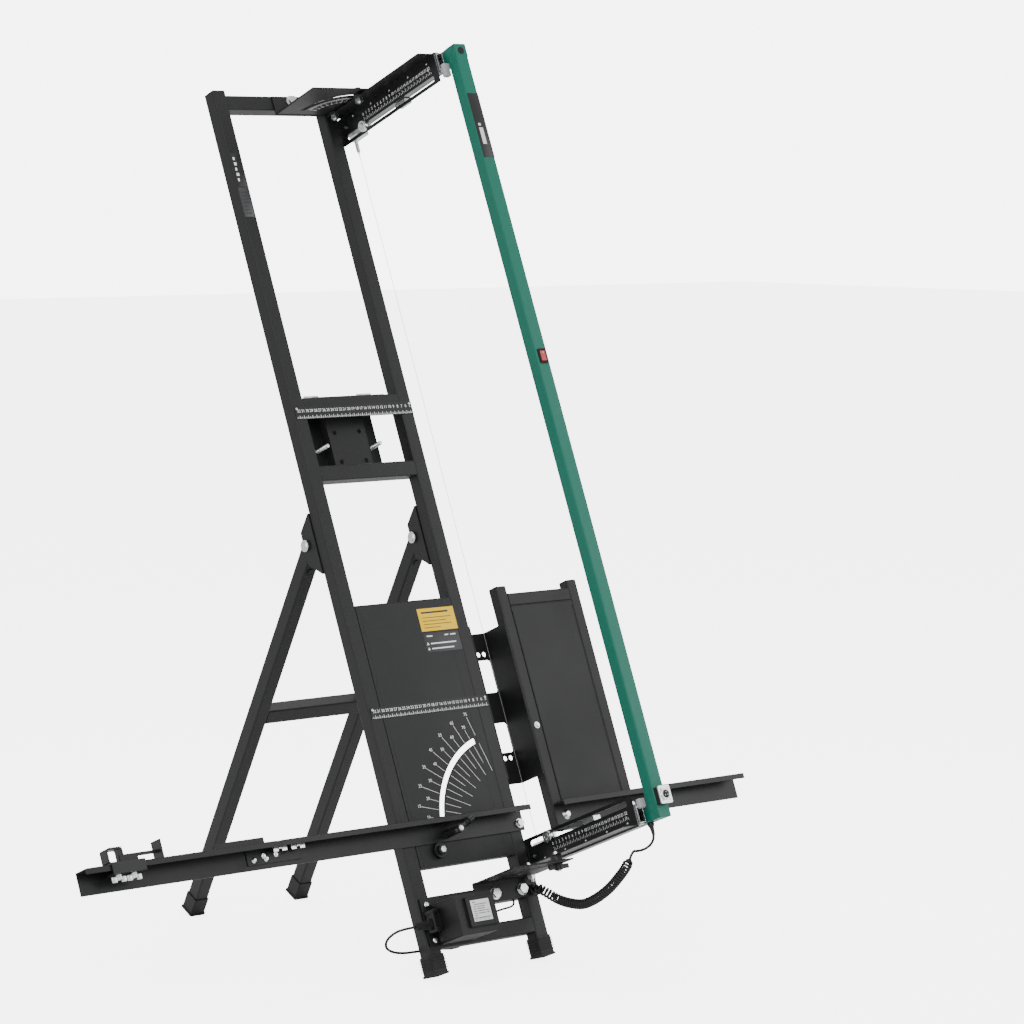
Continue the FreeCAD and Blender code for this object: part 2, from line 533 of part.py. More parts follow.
bolts = []
for tag, x, u in (("a", "39.6", "lower_bar_low + 15.5"), ("b", "106.4", "lower_bar_low + 15.5"),
                  ("c", "37.7", "top_bar_low + 18"), ("d", "105", "top_bar_low + 18")):
    bolts.append(hex_bolt(f"bracket_bolt_{tag}", x, u, "plate_metal"))
for tag, x, u in (("e", f"{SIDE_LEFT} + 27", "rail_low + 18"), ("f", f"{SIDE_RIGHT} - 12", "rail_low + 18")):
    bolts.append(dome(f"rail_bolt_{tag}", "n", (x, u, "sheet_metal"), "20", "6"))
bolts.append(dome("side_screw_head", "n", (f"{SIDE_LEFT} + side_tube / 2", "440", "0"), "11", "3.5"))


# ---- swing arms: angle sections with a long slot, mirrored top and bottom
def arm(name, low, flange_low):
    """Arm's angle section: web on the arm's plane, flange towards -x at one edge."""
    web_x = ("arm_web_x", "arm_web_x + sheet_metal")
    arm_n = ("arm_back", "arm_front")
    web = box(name + "_web", web_x, (low, f"({low}) + arm_height"), arm_n)
    flange_x = ("arm_web_x - arm_flange", "arm_web_x + sheet_metal")
    flange = box(name + "_flange", flange_x, (flange_low, f"({flange_low}) + sheet_metal"),
                 ("swing_n", "arm_front"))
    eye = rod(name + "_eye", "u", ("swing_x", flange_low, "swing_n"), "2 * flange_round", "sheet_metal")
    neck = box(name + "_neck", ("swing_x", "arm_web_x + sheet_metal"),
               (flange_low, f"({flange_low}) + sheet_metal"), ("swing_n - flange_round", "swing_n + 1"))
    holes = []
    for tag, n in (("pivot", "swing_n"), ("clamp", "swing_n + clamp_radius")):
        holes.append(rod(f"{name}_{tag}_hole", "u", ("swing_x", f"({flange_low}) - 1", n), "swing_bolt",
                         "sheet_metal + 2"))
    return fuse(name + "_blank", web, flange, eye, neck), holes


def arm_slot_tool(name, centre_u):
    """Long slot with round ends through an arm's web."""
    low, high = "arm_back + arm_slot_margin", "arm_front - arm_slot_margin"
    bar = box(name + "_bar", ("arm_web_x - 1", "arm_web_x + sheet_metal + 1"),
              (f"({centre_u}) - arm_slot / 2", f"({centre_u}) + arm_slot / 2"),
              (f"{low} + arm_slot / 2", f"{high} - arm_slot / 2"))
    ends = [rod(f"{name}_end_{i}", "x", ("arm_web_x - 1", centre_u, n), "arm_slot", "sheet_metal + 2")
            for i, n in enumerate((f"{low} + arm_slot / 2", f"{high} - arm_slot / 2"))]
    return fuse(name, bar, *ends)


UPPER_LOW = "(arm_top - arm_height)"
UPPER_FLANGE = "(arm_top - sheet_metal)"
LOWER_SLOT_U = "(arm_low + arm_height - arm_slot_in)"
UPPER_SLOT_U = f"({UPPER_LOW} + arm_slot_in)"
upper_blank, upper_holes = arm("arm_up", UPPER_LOW, UPPER_FLANGE)
node("upper_arm", cut("arm_up_cut", upper_blank, arm_slot_tool("arm_up_slot", UPPER_SLOT_U), *upper_holes))
lower_blank, lower_holes = arm("arm_down", "arm_low", "arm_low")
node("lower_arm", cut("arm_down_cut", lower_blank, arm_slot_tool("arm_down_slot", LOWER_SLOT_U), *lower_holes))

PIVOT_N = "swing_n"
CLAMP_N = "(swing_n + clamp_radius)"
LOWER_FLANGE_TOP = "(arm_low + sheet_metal)"
PLATE_GAP = "0.3"


def spacer(name, low, high, n, outer):
    """Round spacer between a plate and an arm's flange, bored for its bolt."""
    disc = rod(name + "_disc", "u", ("swing_x", low, n), outer, f"({high}) - ({low})")
    bore = rod(name + "_bore", "u", ("swing_x", f"({low}) - 1", n), "swing_bolt", f"({high}) - ({low}) + 2")
    return cut(name, disc, bore)


swing_spacers = [spacer(f"lower_spacer_{tag}", f"lower_plate_top + {PLATE_GAP}", "arm_low", n, size)
                 for tag, n, size in (("a", PIVOT_N, "34"), ("b", CLAMP_N, "22"))]
swing_spacers += [spacer(f"upper_spacer_{tag}", "arm_top", f"upper_plate_low - {PLATE_GAP}", n, "20")
                  for tag, n in (("a", PIVOT_N), ("b", CLAMP_N))]
node("swing_spacers", group("spacers", *swing_spacers))

# coach bolts: domes above the lower flange, nuts below the upper one
LOWER_BOLT_END = "(lower_plate_top - plate_metal - 14)"
UPPER_BOLT_END = "(upper_plate_low + plate_metal + 12)"
swing_bolts = []
for tag, n in (("pivot", PIVOT_N), ("clamp", CLAMP_N)):
    low_head = dome(f"low_{tag}_head", "u", ("swing_x", LOWER_FLANGE_TOP, n), "17", "6")
    low_shank = rod(f"low_{tag}_shank", "u", ("swing_x", LOWER_BOLT_END, n), "swing_bolt",
                    f"{LOWER_FLANGE_TOP} - {LOWER_BOLT_END} + 1")
    up_nut = hexagon(f"up_{tag}_nut", "u", ("swing_x", f"{UPPER_FLANGE} - 7", n), "15", "7")
    up_shank = rod(f"up_{tag}_shank", "u", ("swing_x", f"{UPPER_FLANGE} - 10", n), "swing_bolt",
                   f"{UPPER_BOLT_END} - {UPPER_FLANGE} + 10")
    parts_low = [low_head, low_shank]
    parts_up = [up_nut, up_shank]
    if tag == "pivot":
        parts_low.append(hexagon("low_pivot_nut", "u",
                                 ("swing_x", f"lower_plate_top - plate_metal - {PLATE_GAP} - 8", n), "15", "8"))
        parts_up.append(hexagon("up_pivot_nut", "u",
                                ("swing_x", f"upper_plate_low + plate_metal + {PLATE_GAP}", n), "15", "8"))
    swing_bolts.append(fuse(f"low_{tag}_bolt", *parts_low))
    swing_bolts.append(fuse(f"up_{tag}_bolt", *parts_up))


def wing_knob(name, low, n):
    """Wing knob on a clamp bolt, bored for the bolt."""
    hub = rod(name + "_hub", "u", ("swing_x", low, n), "17", "11")
    wing_a = box(name + "_wing_a", ("swing_x - 24", "swing_x - 6"), (f"({low}) + 1", f"({low}) + 10"),
                 (f"({n}) - 2", f"({n}) + 2"))
    wing_b = box(name + "_wing_b", ("swing_x + 6", "swing_x + 24"), (f"({low}) + 1", f"({low}) + 10"),
                 (f"({n}) - 2", f"({n}) + 2"))
    bore = rod(name + "_bore", "u", ("swing_x", f"({low}) - 1", n), "swing_bolt + 2 * pin_gap", "13")
    return cut(name, fuse(name + "_blank", hub, wing_a, wing_b), bore)


node("lower_clamp_knob", wing_knob("knob_down", f"(lower_plate_top - plate_metal - {PLATE_GAP} - 11)", CLAMP_N))
node("upper_clamp_knob", wing_knob("knob_up", f"(upper_plate_low + plate_metal + {PLATE_GAP})", CLAMP_N))

# ---- telescopic slides: three nested channels per arm
SLIDE_LEFT = "(arm_web_x + sheet_metal)"
UPPER_SLIDE_U = "(arm_top + slide_over - slide_height / 2)"
LOWER_SLIDE_U = "(arm_low - slide_over + slide_height / 2)"


def slide_channel(name, centre_u, left, right, half, n, opens):
    """Channel of thin sheet, open towards +x or -x."""
    shell = box(name + "_shell", (left, right), (f"{centre_u} - ({half})", f"{centre_u} + ({half})"), n)
    room_x = {"+x": (f"({left}) + slide_sheet", f"({right}) + 1"),
              "-x": (f"({left}) - 1", f"({right}) - slide_sheet")}[opens]
    room = box(name + "_room", room_x, (f"{centre_u} - ({half}) + slide_sheet", f"{centre_u} + ({half}) - slide_sheet"),
               (f"({n[0]}) - 1", f"({n[1]}) + 1"))
    return cut(name, shell, room)


OUTER_HALF = "slide_height / 2"
MIDDLE_HALF = "(slide_height / 2 - slide_sheet - 2 * slide_play)"
INNER_HALF = "(slide_height / 2 - 2 * slide_sheet - 4 * slide_play)"
SLIDE_N = {"outer": ("arm_back + 4", "arm_front"), "middle": ("arm_back + 6", "arm_front + 4"),
           "inner": ("arm_back + 8", "arm_front + 10")}
OUTER_X = (SLIDE_LEFT, f"{SLIDE_LEFT} + slide_depth")
MIDDLE_X = (f"{SLIDE_LEFT} + slide_sheet + slide_play", f"{SLIDE_LEFT} + slide_depth")
INNER_X = (f"{SLIDE_LEFT} + 2 * (slide_sheet + slide_play)", f"{SLIDE_LEFT} + slide_depth")
outer_members = []
middle_members = []
inner_members = []
for tag, centre in (("up", UPPER_SLIDE_U), ("down", LOWER_SLIDE_U)):
    outer_members.append(slide_channel(f"slide_outer_{tag}", centre, *OUTER_X, OUTER_HALF, SLIDE_N["outer"], "+x"))
    middle_members.append(slide_channel(f"slide_middle_{tag}", centre, *MIDDLE_X, MIDDLE_HALF, SLIDE_N["middle"],
                                        "+x"))
    inner_members.append(slide_channel(f"slide_inner_{tag}", centre, *INNER_X, INNER_HALF, SLIDE_N["inner"], "-x"))
node("slide_outer_members", group("outer_channels", *outer_members))
node("slide_middle_members", group("middle_channels", *middle_members))
node("slide_inner_members", group("inner_channels", *inner_members))

# ---- bow: spine and two legs of one square tube, joined at mitred corners
BOW_RIGHT = "(bow_left + bow_tube)"
BOW_X = ("bow_left", BOW_RIGHT)
BOW_MIDDLE = "(bow_left + bow_tube / 2)"
SPINE_N = ("bow_front - bow_tube", "bow_front")
UPPER_LEG_U = ("bow_high - bow_tube", "bow_high")
LOWER_LEG_U = ("bow_low", "bow_low + bow_tube")
spine = rounded(box("spine_blank", BOW_X, ("bow_low", "bow_high"), SPINE_N), "u", "tube_round - 0.5")
legs = [rounded(box(f"bow_leg_{tag}", BOW_X, span, ("bow_back", "bow_front")), "n", "tube_round - 0.5")
        for tag, span in (("up", UPPER_LEG_U), ("down", LOWER_LEG_U))]


def bow_hollow(name, u, n):
    """The room inside one of the bow's tubes."""
    return box(name, ("bow_left + tube_wall", f"{BOW_RIGHT} - tube_wall"), u, n)


hollows = [bow_hollow("spine_hollow", ("bow_low + tube_wall", "bow_high - tube_wall"),
                      ("bow_front - bow_tube + tube_wall", "bow_front - tube_wall"))]
for tag, (low, high) in (("up", UPPER_LEG_U), ("down", LOWER_LEG_U)):
    hollows.append(bow_hollow(f"bow_leg_hollow_{tag}", (f"{low} + tube_wall", f"{high} - tube_wall"),
                              ("bow_back - 1", "bow_front - tube_wall")))
SWITCH_BODY = ("switch_width - 4", "switch_height - 4")
switch_cutout = box("switch_cutout", (f"{BOW_MIDDLE} - ({SWITCH_BODY[0]}) / 2", f"{BOW_MIDDLE} + ({SWITCH_BODY[0]}) / 2"),
                    (f"switch_u - ({SWITCH_BODY[1]}) / 2", f"switch_u + ({SWITCH_BODY[1]}) / 2"),
                    ("bow_front - 5", "bow_front + 1"))
BOW_LEAD_N = "(bow_front - 40)"
lead_hole = rod("lead_hole", "u", ("bow_left + 10", "bow_low - 1", BOW_LEAD_N), "lead + 1", "5")
bow = cut("bow_tubes", fuse("bow_blank", spine, *legs), *hollows, switch_cutout, lead_hole)
node("bow_frame", bow)

# pads that carry the legs on the slides' inner channels
PAD_X = (INNER_X[1], "bow_left")
pads = []
for tag, centre in (("up", UPPER_SLIDE_U), ("down", LOWER_SLIDE_U)):
    for spot, n in (("a", "20"), ("b", "120"), ("c", "280")):
        pads.append(box(f"slide_pad_{tag}_{spot}", PAD_X, (f"{centre} - 7", f"{centre} + 7"), (n, f"{n} + 24")))

# stop lugs below the upper leg and above the lower leg, which meet the depth stops
LUG_X = ("bow_left - 17", "bow_left")
UPPER_LUG = (f"{UPPER_SLOT_U} - 5", f"{UPPER_SLOT_U} + 4")
LOWER_LUG = (f"{LOWER_SLOT_U} - 4", f"{LOWER_SLOT_U} + 5")
lug_up = fuse("lug_up", box("lug_up_block", LUG_X, UPPER_LUG, ("163", "195")),
              box("lug_up_strap", ("bow_left - 3", "bow_left"), (UPPER_LUG[0], f"{UPPER_LEG_U[0]} + 2"),
                  ("163", "195")))
lug_down = fuse("lug_down", box("lug_down_block", LUG_X, LOWER_LUG, ("163", "195")),
                box("lug_down_strap", ("bow_left - 3", "bow_left"), (f"{LOWER_LEG_U[1]} - 2", LOWER_LUG[1]),
                    ("163", "195")))
node("bow_brackets", group("pads_and_lugs", *pads, lug_up, lug_down))


def depth_stop(name, centre_u):
    """Knurled knob on a stud through the arm's slot, with a block behind the web."""
    at_n = "66"
    knob = rod(name + "_knob", "x", ("arm_web_x - 9", centre_u, at_n), "21", "8.7")
    stud = rod(name + "_stud", "x", ("arm_web_x - 5", centre_u, at_n), "arm_slot - 3", "sheet_metal + 7")
    block = box(name + "_block", ("arm_web_x + sheet_metal + 0.3", "arm_web_x + sheet_metal + 6"),
                (f"{centre_u} - 4.5", f"{centre_u} + 4"), (f"{at_n} - 10", f"{at_n} + 10"))
    return fuse(name, knob, stud, block)


node("upper_depth_stop", depth_stop("stop_up", UPPER_SLOT_U))
lower_stop = depth_stop("stop_down", f"({LOWER_SLOT_U} + 0.5)")
node("lower_depth_stop", lower_stop)

rivets = []
for tag, u, n in (("a", f"{UPPER_LOW} + 33", "10"), ("b", f"{UPPER_LOW} + 33", "290"),
                  ("c", "arm_low + 20", "10"), ("d", "arm_low + 20", "290")):
    rivets.append(rod(f"rivet_{tag}", "x", ("arm_web_x - 2", u, n), "6", "2"))
node("arm_fasteners", group("bolts_and_rivets", *swing_bolts, *rivets))

# ---- wire, its blocks at the legs' inner ends, hook and tension spring
BLOCK_X = (f"{BOW_MIDDLE} - 8", f"{BOW_MIDDLE} + 8")
BLOCK_N = ("wire_n - 7", "20")
block_up = box("wire_block_up", BLOCK_X, (f"{UPPER_LEG_U[0]} - wire_block", UPPER_LEG_U[0]), BLOCK_N)
block_down = box("wire_block_down", BLOCK_X, (LOWER_LEG_U[1], f"{LOWER_LEG_U[1]} + wire_block"), BLOCK_N)
SPRING_TOP = f"({UPPER_LEG_U[0]} - wire_block)"
SPRING_LOW = f"({SPRING_TOP} - spring_length)"
spring_core = rod("spring_body", "u", (BOW_MIDDLE, SPRING_LOW, "wire_n"), "6", "spring_length")
node("wire_anchors", group("blocks_and_spring", block_up, block_down, spring_core))
WIRE_LOW = f"({LOWER_LEG_U[1]} + wire_block)"
node("cutting_wire", group("wire_part", rod("wire_rod", "u", (BOW_MIDDLE, WIRE_LOW, "wire_n"), "wire",
                                            f"{SPRING_LOW} - {WIRE_LOW}")))

# ---- switch and socket on the bow
HOUSING_N = ("bow_front - 12", "bow_front")
switch_rim = rounded(box("switch_rim_box", (f"{BOW_MIDDLE} - switch_width / 2", f"{BOW_MIDDLE} + switch_width / 2"),
                         ("switch_u - switch_height / 2", "switch_u + switch_height / 2"),
                         ("bow_front", "bow_front + switch_rim")), "n", "2")
switch_body = box("switch_body", (f"{BOW_MIDDLE} - ({SWITCH_BODY[0]}) / 2 + 0.2", f"{BOW_MIDDLE} + ({SWITCH_BODY[0]}) / 2 - 0.2"),
                  (f"switch_u - ({SWITCH_BODY[1]}) / 2 + 0.2", f"switch_u + ({SWITCH_BODY[1]}) / 2 - 0.2"),
                  ("bow_front - 14", "bow_front + 1"))
ROCKER_X = (f"{BOW_MIDDLE} - rocker_width / 2", f"{BOW_MIDDLE} + rocker_width / 2")
switch_room = box("switch_room", (f"{ROCKER_X[0]} - rocker_gap", f"{ROCKER_X[1]} + rocker_gap"),
                  ("switch_u - rocker_height / 2 - 1.2", "switch_u + rocker_height / 2 + 1.2"),
                  ("bow_front - 8", "bow_front + 4"))
switch_pin = rod("switch_pin", "x", (f"{ROCKER_X[0]} - 1", "switch_u", "bow_front - 1.5"), "2",
                 "rocker_width + 2")
node("switch_housing", fuse("switch_case", cut("switch_shell", fuse("switch_solid", switch_rim, switch_body),
                                               switch_room), switch_pin))
rocker_blank = box("rocker_blank", ROCKER_X, ("switch_u - rocker_height / 2", "switch_u + rocker_height / 2"),
                   ("bow_front - 3.5", "bow_front + 3"))
rocker_bore = rod("rocker_bore", "x", (f"{ROCKER_X[0]} - 1", "switch_u", "bow_front - 1.5"), "2.3",
                  "rocker_width + 2")
node("rocker", cut("rocker_key", rocker_blank, rocker_bore))

SOCKET_X = (f"{BOW_MIDDLE} - socket_width / 2 + 2", f"{BOW_MIDDLE} + socket_width / 2 - 2")
socket_box = box("socket_spacer", SOCKET_X, ("socket_u - socket_height / 2 + 1", "socket_u + socket_height / 2 - 1"),
                 ("bow_front", "bow_front + socket_box"))
lead_grommet = rod("lead_grommet", "u", ("bow_left + 10", "bow_low - 5", BOW_LEAD_N), "13", "5")
node("bow_fittings", group("socket_spacer_and_grommet", socket_box, lead_grommet))
SOCKET_FACE = "(bow_front + socket_box)"
socket_flange = rounded(box("socket_flange", (f"{BOW_MIDDLE} - socket_width / 2", f"{BOW_MIDDLE} + socket_width / 2"),
                            ("socket_u - socket_height / 2", "socket_u + socket_height / 2"),
                            (SOCKET_FACE, f"{SOCKET_FACE} + socket_plate")), "n", "3")
socket_ring = cut("socket_ring", rod("socket_ring_outer", "n", (BOW_MIDDLE, "socket_u", SOCKET_FACE), "22",
                                     "socket_plate + 2"),
                  rod("socket_ring_bore", "n", (BOW_MIDDLE, "socket_u", f"{SOCKET_FACE} + 1"), "18",
                      "socket_plate + 4"))
socket_bore = rod("socket_bore", "n", (BOW_MIDDLE, "socket_u", f"{SOCKET_FACE} + 1"), "18", "socket_plate + 4")
node("socket", fuse("socket_all", cut("socket_flange_cut", socket_flange, socket_bore), socket_ring))

# ---- transformer: base on the left upright and the bars, deep housing, raised label frame
BASE_X = ("base_left", "base_left + base_width")
base_plate = box("base_plate", BASE_X, ("base_low", "base_high"), ("0", "base_thick"))
node("transformer_base", group("base_part", base_plate))
HOUSE_X = ("housing_left", "housing_left + housing_width")
HOUSE_U = ("housing_low", "housing_high")
house_outer = rounded(box("house_outer", HOUSE_X, HOUSE_U, ("base_thick", "housing_front")), "n", "4")
house_frame = box("house_frame", ("frame_left", "frame_left + frame_long"), ("frame_low", "frame_high"),
                  ("housing_front - 1", "housing_front + frame_proud"))
label_recess = box("label_recess", ("frame_left + 11", "frame_left + frame_long - 11"),
                   ("frame_low + 8", "frame_high - 6"),
                   ("housing_front + frame_proud - 1", "housing_front + frame_proud + 1"))
shoulder_box = box("house_shoulder", ("housing_left - shoulder", "housing_left + 2"), ("78", "114"),
                   ("base_thick", "26"))
house_room = box("house_room", ("housing_left + 3", "housing_left + housing_width - 3"),
                 ("housing_low + 3", "housing_high - 3"), ("base_thick - 1", "housing_front - 3"))
node("transformer_housing", cut("house_shell", fuse("house_solid", house_outer, house_frame, shoulder_box),
                                house_room, label_recess))
core_x = ("housing_left + core_margin", "housing_left + housing_width - core_margin")
core = box("core_iron", core_x, ("housing_low + core_margin", "housing_high - core_margin"),
           ("base_thick", "housing_front - core_margin"))
node("transformer_core", group("core_part", core))


def slotted_screw(name, x, u, face):
    """Pan-head screw with a slot, standing on the base."""
    head = dome(name + "_head", "n", (x, u, face), "11", "4")
    slot = box(name + "_slot", (f"({x}) - 7", f"({x}) + 7"), (f"({u}) - 0.7", f"({u}) + 0.7"),
               (f"({face}) + 2.6", f"({face}) + 5"))
    return cut(name, head, slot)


bolts += [slotted_screw(f"base_screw_{tag}", "base_left + 12.5", u, "base_thick") for tag, u in (("a", "130"),
                                                                                                 ("b", "63"))]

RELIEF_U = "91"
RELIEF_N = "16"
SHOULDER_LEFT = "(housing_left - shoulder)"
relief = doc.addObject("Part::Cone", "relief_cone")
bind(relief, Radius1="5.5", Radius2="8", Height="38")
place(relief, f"{SHOULDER_LEFT} - 38", RELIEF_U, RELIEF_N, turn=TURN_TO["x"])
relief_nut = hexagon("relief_nut", "x", (f"{SHOULDER_LEFT} - 5", RELIEF_U, RELIEF_N), "19", "5")
GLAND = ("129", "126", "plate_metal")
lead_gland = rod("lead_gland", "n", GLAND, "curl", "4")
node("cord_glands", group("both_glands", fuse("relief_all", relief, relief_nut), lead_gland))

# ---- accessory plate: hat section hung behind the ruler bar, with four holes
ACC_X = ("-accessory_half", "accessory_half")
ACC_TOP = "(ruler_bar_low + tube)"
ACC_U = ("accessory_low", f"{ACC_TOP} + sheet_metal")
STEP_N = "(accessory_n - accessory_step)"
front_plate = box("acc_front", ACC_X, ACC_U, ("accessory_n - sheet_metal", "accessory_n"))
pieces = [front_plate]
for tag, low, high, wall in (("left", "-accessory_half - accessory_wing", "-accessory_half + sheet_metal",
                              "-accessory_half"),
                             ("right", "accessory_half - sheet_metal", "accessory_half + accessory_wing",
                              "accessory_half - sheet_metal")):
    pieces.append(box(f"acc_wing_{tag}", (low, high), ACC_U, (f"{STEP_N} - sheet_metal", STEP_N)))
    pieces.append(box(f"acc_wall_{tag}", (wall, f"({wall}) + sheet_metal"), ACC_U, (STEP_N, "accessory_n")))
shelf = box("acc_shelf", ("-accessory_half - accessory_wing", "accessory_half + accessory_wing"),
            (ACC_TOP, f"{ACC_TOP} + sheet_metal"), (f"{STEP_N} - sheet_metal", "-6"))
acc_holes = []
for i, dx in enumerate(("-1", "1")):
    for j, du in enumerate(("-1", "1")):
        acc_holes.append(rod(f"acc_hole_{i}{j}", "n", (f"{dx} * accessory_hole_pitch / 2",
                                                       f"accessory_low + 51 + ({du}) * accessory_hole_pitch / 2",
                                                       "accessory_n - sheet_metal - 1"),
                             "accessory_hole", "sheet_metal + 2"))
node("accessory_plate", cut("acc_plate", fuse("acc_blank", *pieces, shelf), *acc_holes))
studs = [rod(f"acc_stud_{tag}", "n", (x, "1036", STEP_N), "8", "38")
         for tag, x in (("a", "-stud_x"), ("b", "stud_x"))]
node("frame_fasteners", group("bolts_screws_and_studs", *bolts, *studs))


def clear_knob(name, x):
    """Wing knob standing on the accessory plate's shelf."""
    low = f"({ACC_TOP} + sheet_metal)"
    hub = rod(name + "_hub", "u", (x, low, "-38"), "13", "8")
    wing = box(name + "_wing", (f"({x}) - 17", f"({x}) + 17"), (f"{low} + 4", f"{low} + 13"), ("-39.5", "-36.5"))
    return fuse(name, hub, wing)


node("wing_knobs", group("clear_knobs", clear_knob("clear_knob_a", "-stud_x"), clear_knob("clear_knob_b", "stud_x")))

# ---- rear stand, drawn in its own frame: z along the legs, y backwards, origin on the hinge line
LEG_PIVOT = ("0", "leg_pivot_u", "leg_pivot_n")
LEG_HALF = "(tube / 2)"
LEG_FOOT_HALF = f"({LEG_HALF} + cap_wall + cap_rim)"
LEG_LENGTH = (f"(({height_of('leg_pivot_u', 'leg_pivot_n')} - {LEG_FOOT_HALF} * sin(leg_splay * 1 deg))"
              " / cos(leg_splay * 1 deg))")


def leg_node(label, shape):
    """Name a sub-part of the rear stand and set it at the hinge, splayed back."""
    if shape.TypeId not in ("Part::Compound", "Part::MultiFuse", "Part::Cut"):
        shape = group(label + "_part", shape)
    shape.Label = label
    shape.Placement = FreeCAD.Placement(Vector(0, 0, 0), Rotation(Vector(1, 0, 0), SIZES["leg_splay"]))
    bind(shape, Placement__Base__x="-centre_x", Placement__Base__y=depth_of("leg_pivot_u", "leg_pivot_n"),
         Placement__Base__z=height_of("leg_pivot_u", "leg_pivot_n"), Placement__Rotation__Angle="leg_splay * 1 deg")
    nodes[label] = shape
    return shape


def leg_span(side):
    centre = middle(SIDES[side])
    return f"({centre} - leg_width / 2)", f"({centre} + leg_width / 2)"


LEG_N = (f"-{LEG_HALF}", LEG_HALF)
for side in SIDES:
    blank = tube(f"{side}_leg_tube", "u", leg_span(side), (f"-{LEG_LENGTH} + sole", "leg_top"), LEG_N)
    eye = rod(f"{side}_leg_eye", "x", (f"{leg_span(side)[0]} - 1", "0", "0"), "hinge_pin + 2 * pin_gap",
              "leg_width + 2")
    leg_node(f"{side}_rear_leg", cut(f"{side}_leg", blank, eye))
leg_node("rear_crossbar", tube("leg_bar", "x", (leg_span("left")[1], leg_span("right")[0]),
                               ("-leg_bar_drop", "-leg_bar_drop + tube"), LEG_N))
rear_caps = [foot(f"rear_foot_{s}", leg_span(s), LEG_N, f"-{LEG_LENGTH} + cap_height", "sole", f"-{LEG_LENGTH}")
             for s in SIDES]
rear_caps += [rod(f"leg_plug_{s}", "n", (middle(SIDES[s]), "-leg_plug_drop", LEG_HALF), "13", "1.5") for s in SIDES]
leg_node("rear_leg_caps", group("caps_of_rear_legs", *rear_caps))

# ---- hinge brackets on the uprights' backs, and the bolts through them
CHEEK = [("906", "-tube"), ("906", "-tube - 2"), ("879", "-66"), ("814", "-66.6"), ("795", "-42"), ("786", "-32"),
         ("786", "-tube")]
hinge_brackets = []
hinge_bolts = []
for side, span in SIDES.items():
    centre = middle(span)
    reach = "(leg_width / 2 + hinge_gap)"
    pair = []
    for tag, low in (("in", f"{centre} - {reach} - sheet_metal"), ("out", f"{centre} + {reach}")):
        pair.append(profile(f"{side}_cheek_{tag}", "x", CHEEK, low, "sheet_metal"))
    web = box(f"{side}_hinge_web", (f"{centre} - {reach} - sheet_metal", f"{centre} + {reach} + sheet_metal"),
              ("786", "906"), ("-tube - sheet_metal", "-tube"))
    hole = rod(f"{side}_hinge_hole", "x", (f"{centre} - {reach} - sheet_metal - 1", *LEG_PIVOT[1:]), "hinge_pin",
               "leg_width + 2 * hinge_gap + 2 * sheet_metal + 2")
    hinge_brackets.append(cut(f"{side}_hinge", fuse(f"{side}_hinge_blank", web, *pair), hole))
    out = f"({centre} - {reach} - sheet_metal)"
    shank = rod(f"{side}_hinge_shank", "x", (f"{out} - 2", *LEG_PIVOT[1:]), "hinge_pin",
                "leg_width + 2 * hinge_gap + 2 * sheet_metal + 12")
    head = hexagon(f"{side}_hinge_head", "x", (f"{out} - 6", *LEG_PIVOT[1:]), "14", "6")
    nut = hexagon(f"{side}_hinge_nut", "x", (f"{centre} + {reach} + sheet_metal", *LEG_PIVOT[1:]), "14", "6.5")
    hinge_bolts.append(fuse(f"{side}_hinge_bolt", shank, head, nut))
node("leg_hinge_brackets", group("hinge_brackets", *hinge_brackets))
node("leg_hinge_bolts", group("hinge_bolts", *hinge_bolts))


# ---- cords, drawn in the stand's frame: x as the board's, y back from the sole line, z up from the floor
def on_board(x, u, n):
    """A point of the board frame in the stand's frame, at the present sizes."""
    return Vector(x, number(depth_of(u, n)) + SIZES["centre_y"], number(height_of(u, n)))


def standing(label, shape):
    """Name a sub-part drawn in the stand's frame."""
    shape.Label = label
    bind(shape, Placement__Base__x="-centre_x", Placement__Base__y="-centre_y")
    nodes[label] = shape
    return shape


def cord(label, diameter, route):
    """Tube along straight runs joined by arcs as large as the runs allow."""
    legs_of_path = []
    start = route[0]
    radii = []
    for before, corner, after in zip(route, route[1:], route[2:]):
        inward = (corner - before).normalize()
        onward = (after - corner).normalize()
        turn = inward.getAngle(onward)
        trim = 0.45 * min((corner - before).Length, (after - corner).Length)
        radii.append(trim / math.tan(turn / 2))
        first = corner - inward * trim
        last = corner + onward * trim
        bulge = (onward - inward).normalize() * radii[-1]
        middle_of_arc = first + bulge_of(inward, bulge, turn)
        legs_of_path.append(Part.LineSegment(start, first).toShape())
        legs_of_path.append(Part.Arc(first, middle_of_arc, last).toShape())
        start = last
    legs_of_path.append(Part.LineSegment(start, route[-1]).toShape())
    path = Part.Wire(legs_of_path)
    radius = number(diameter) / 2
    ring = Part.Wire(Part.makeCircle(radius, route[0], (route[1] - route[0]).normalize()))
    solid = path.makePipeShell([ring], True, True)
    share = solid.Volume / (math.pi * radius ** 2 * path.Length)
    shown = ", ".join(f"{r:.0f}" for r in radii)
    print(f"{label}: {path.Length:.0f} mm long, volume {share:.3f} of section x length, radii {shown}")
    feature = doc.addObject("Part::Feature", label)
    feature.Shape = solid
    return standing(label, feature)


def bulge_of(inward, bulge, turn):
    """From an arc's start to its middle, for an arc that turns from `inward` towards `bulge`."""
    radius = bulge.Length
    sideways = (bulge - inward * bulge.dot(inward)).normalize()
    return inward * (radius * math.sin(turn / 2)) + sideways * (radius * (1 - math.cos(turn / 2)))


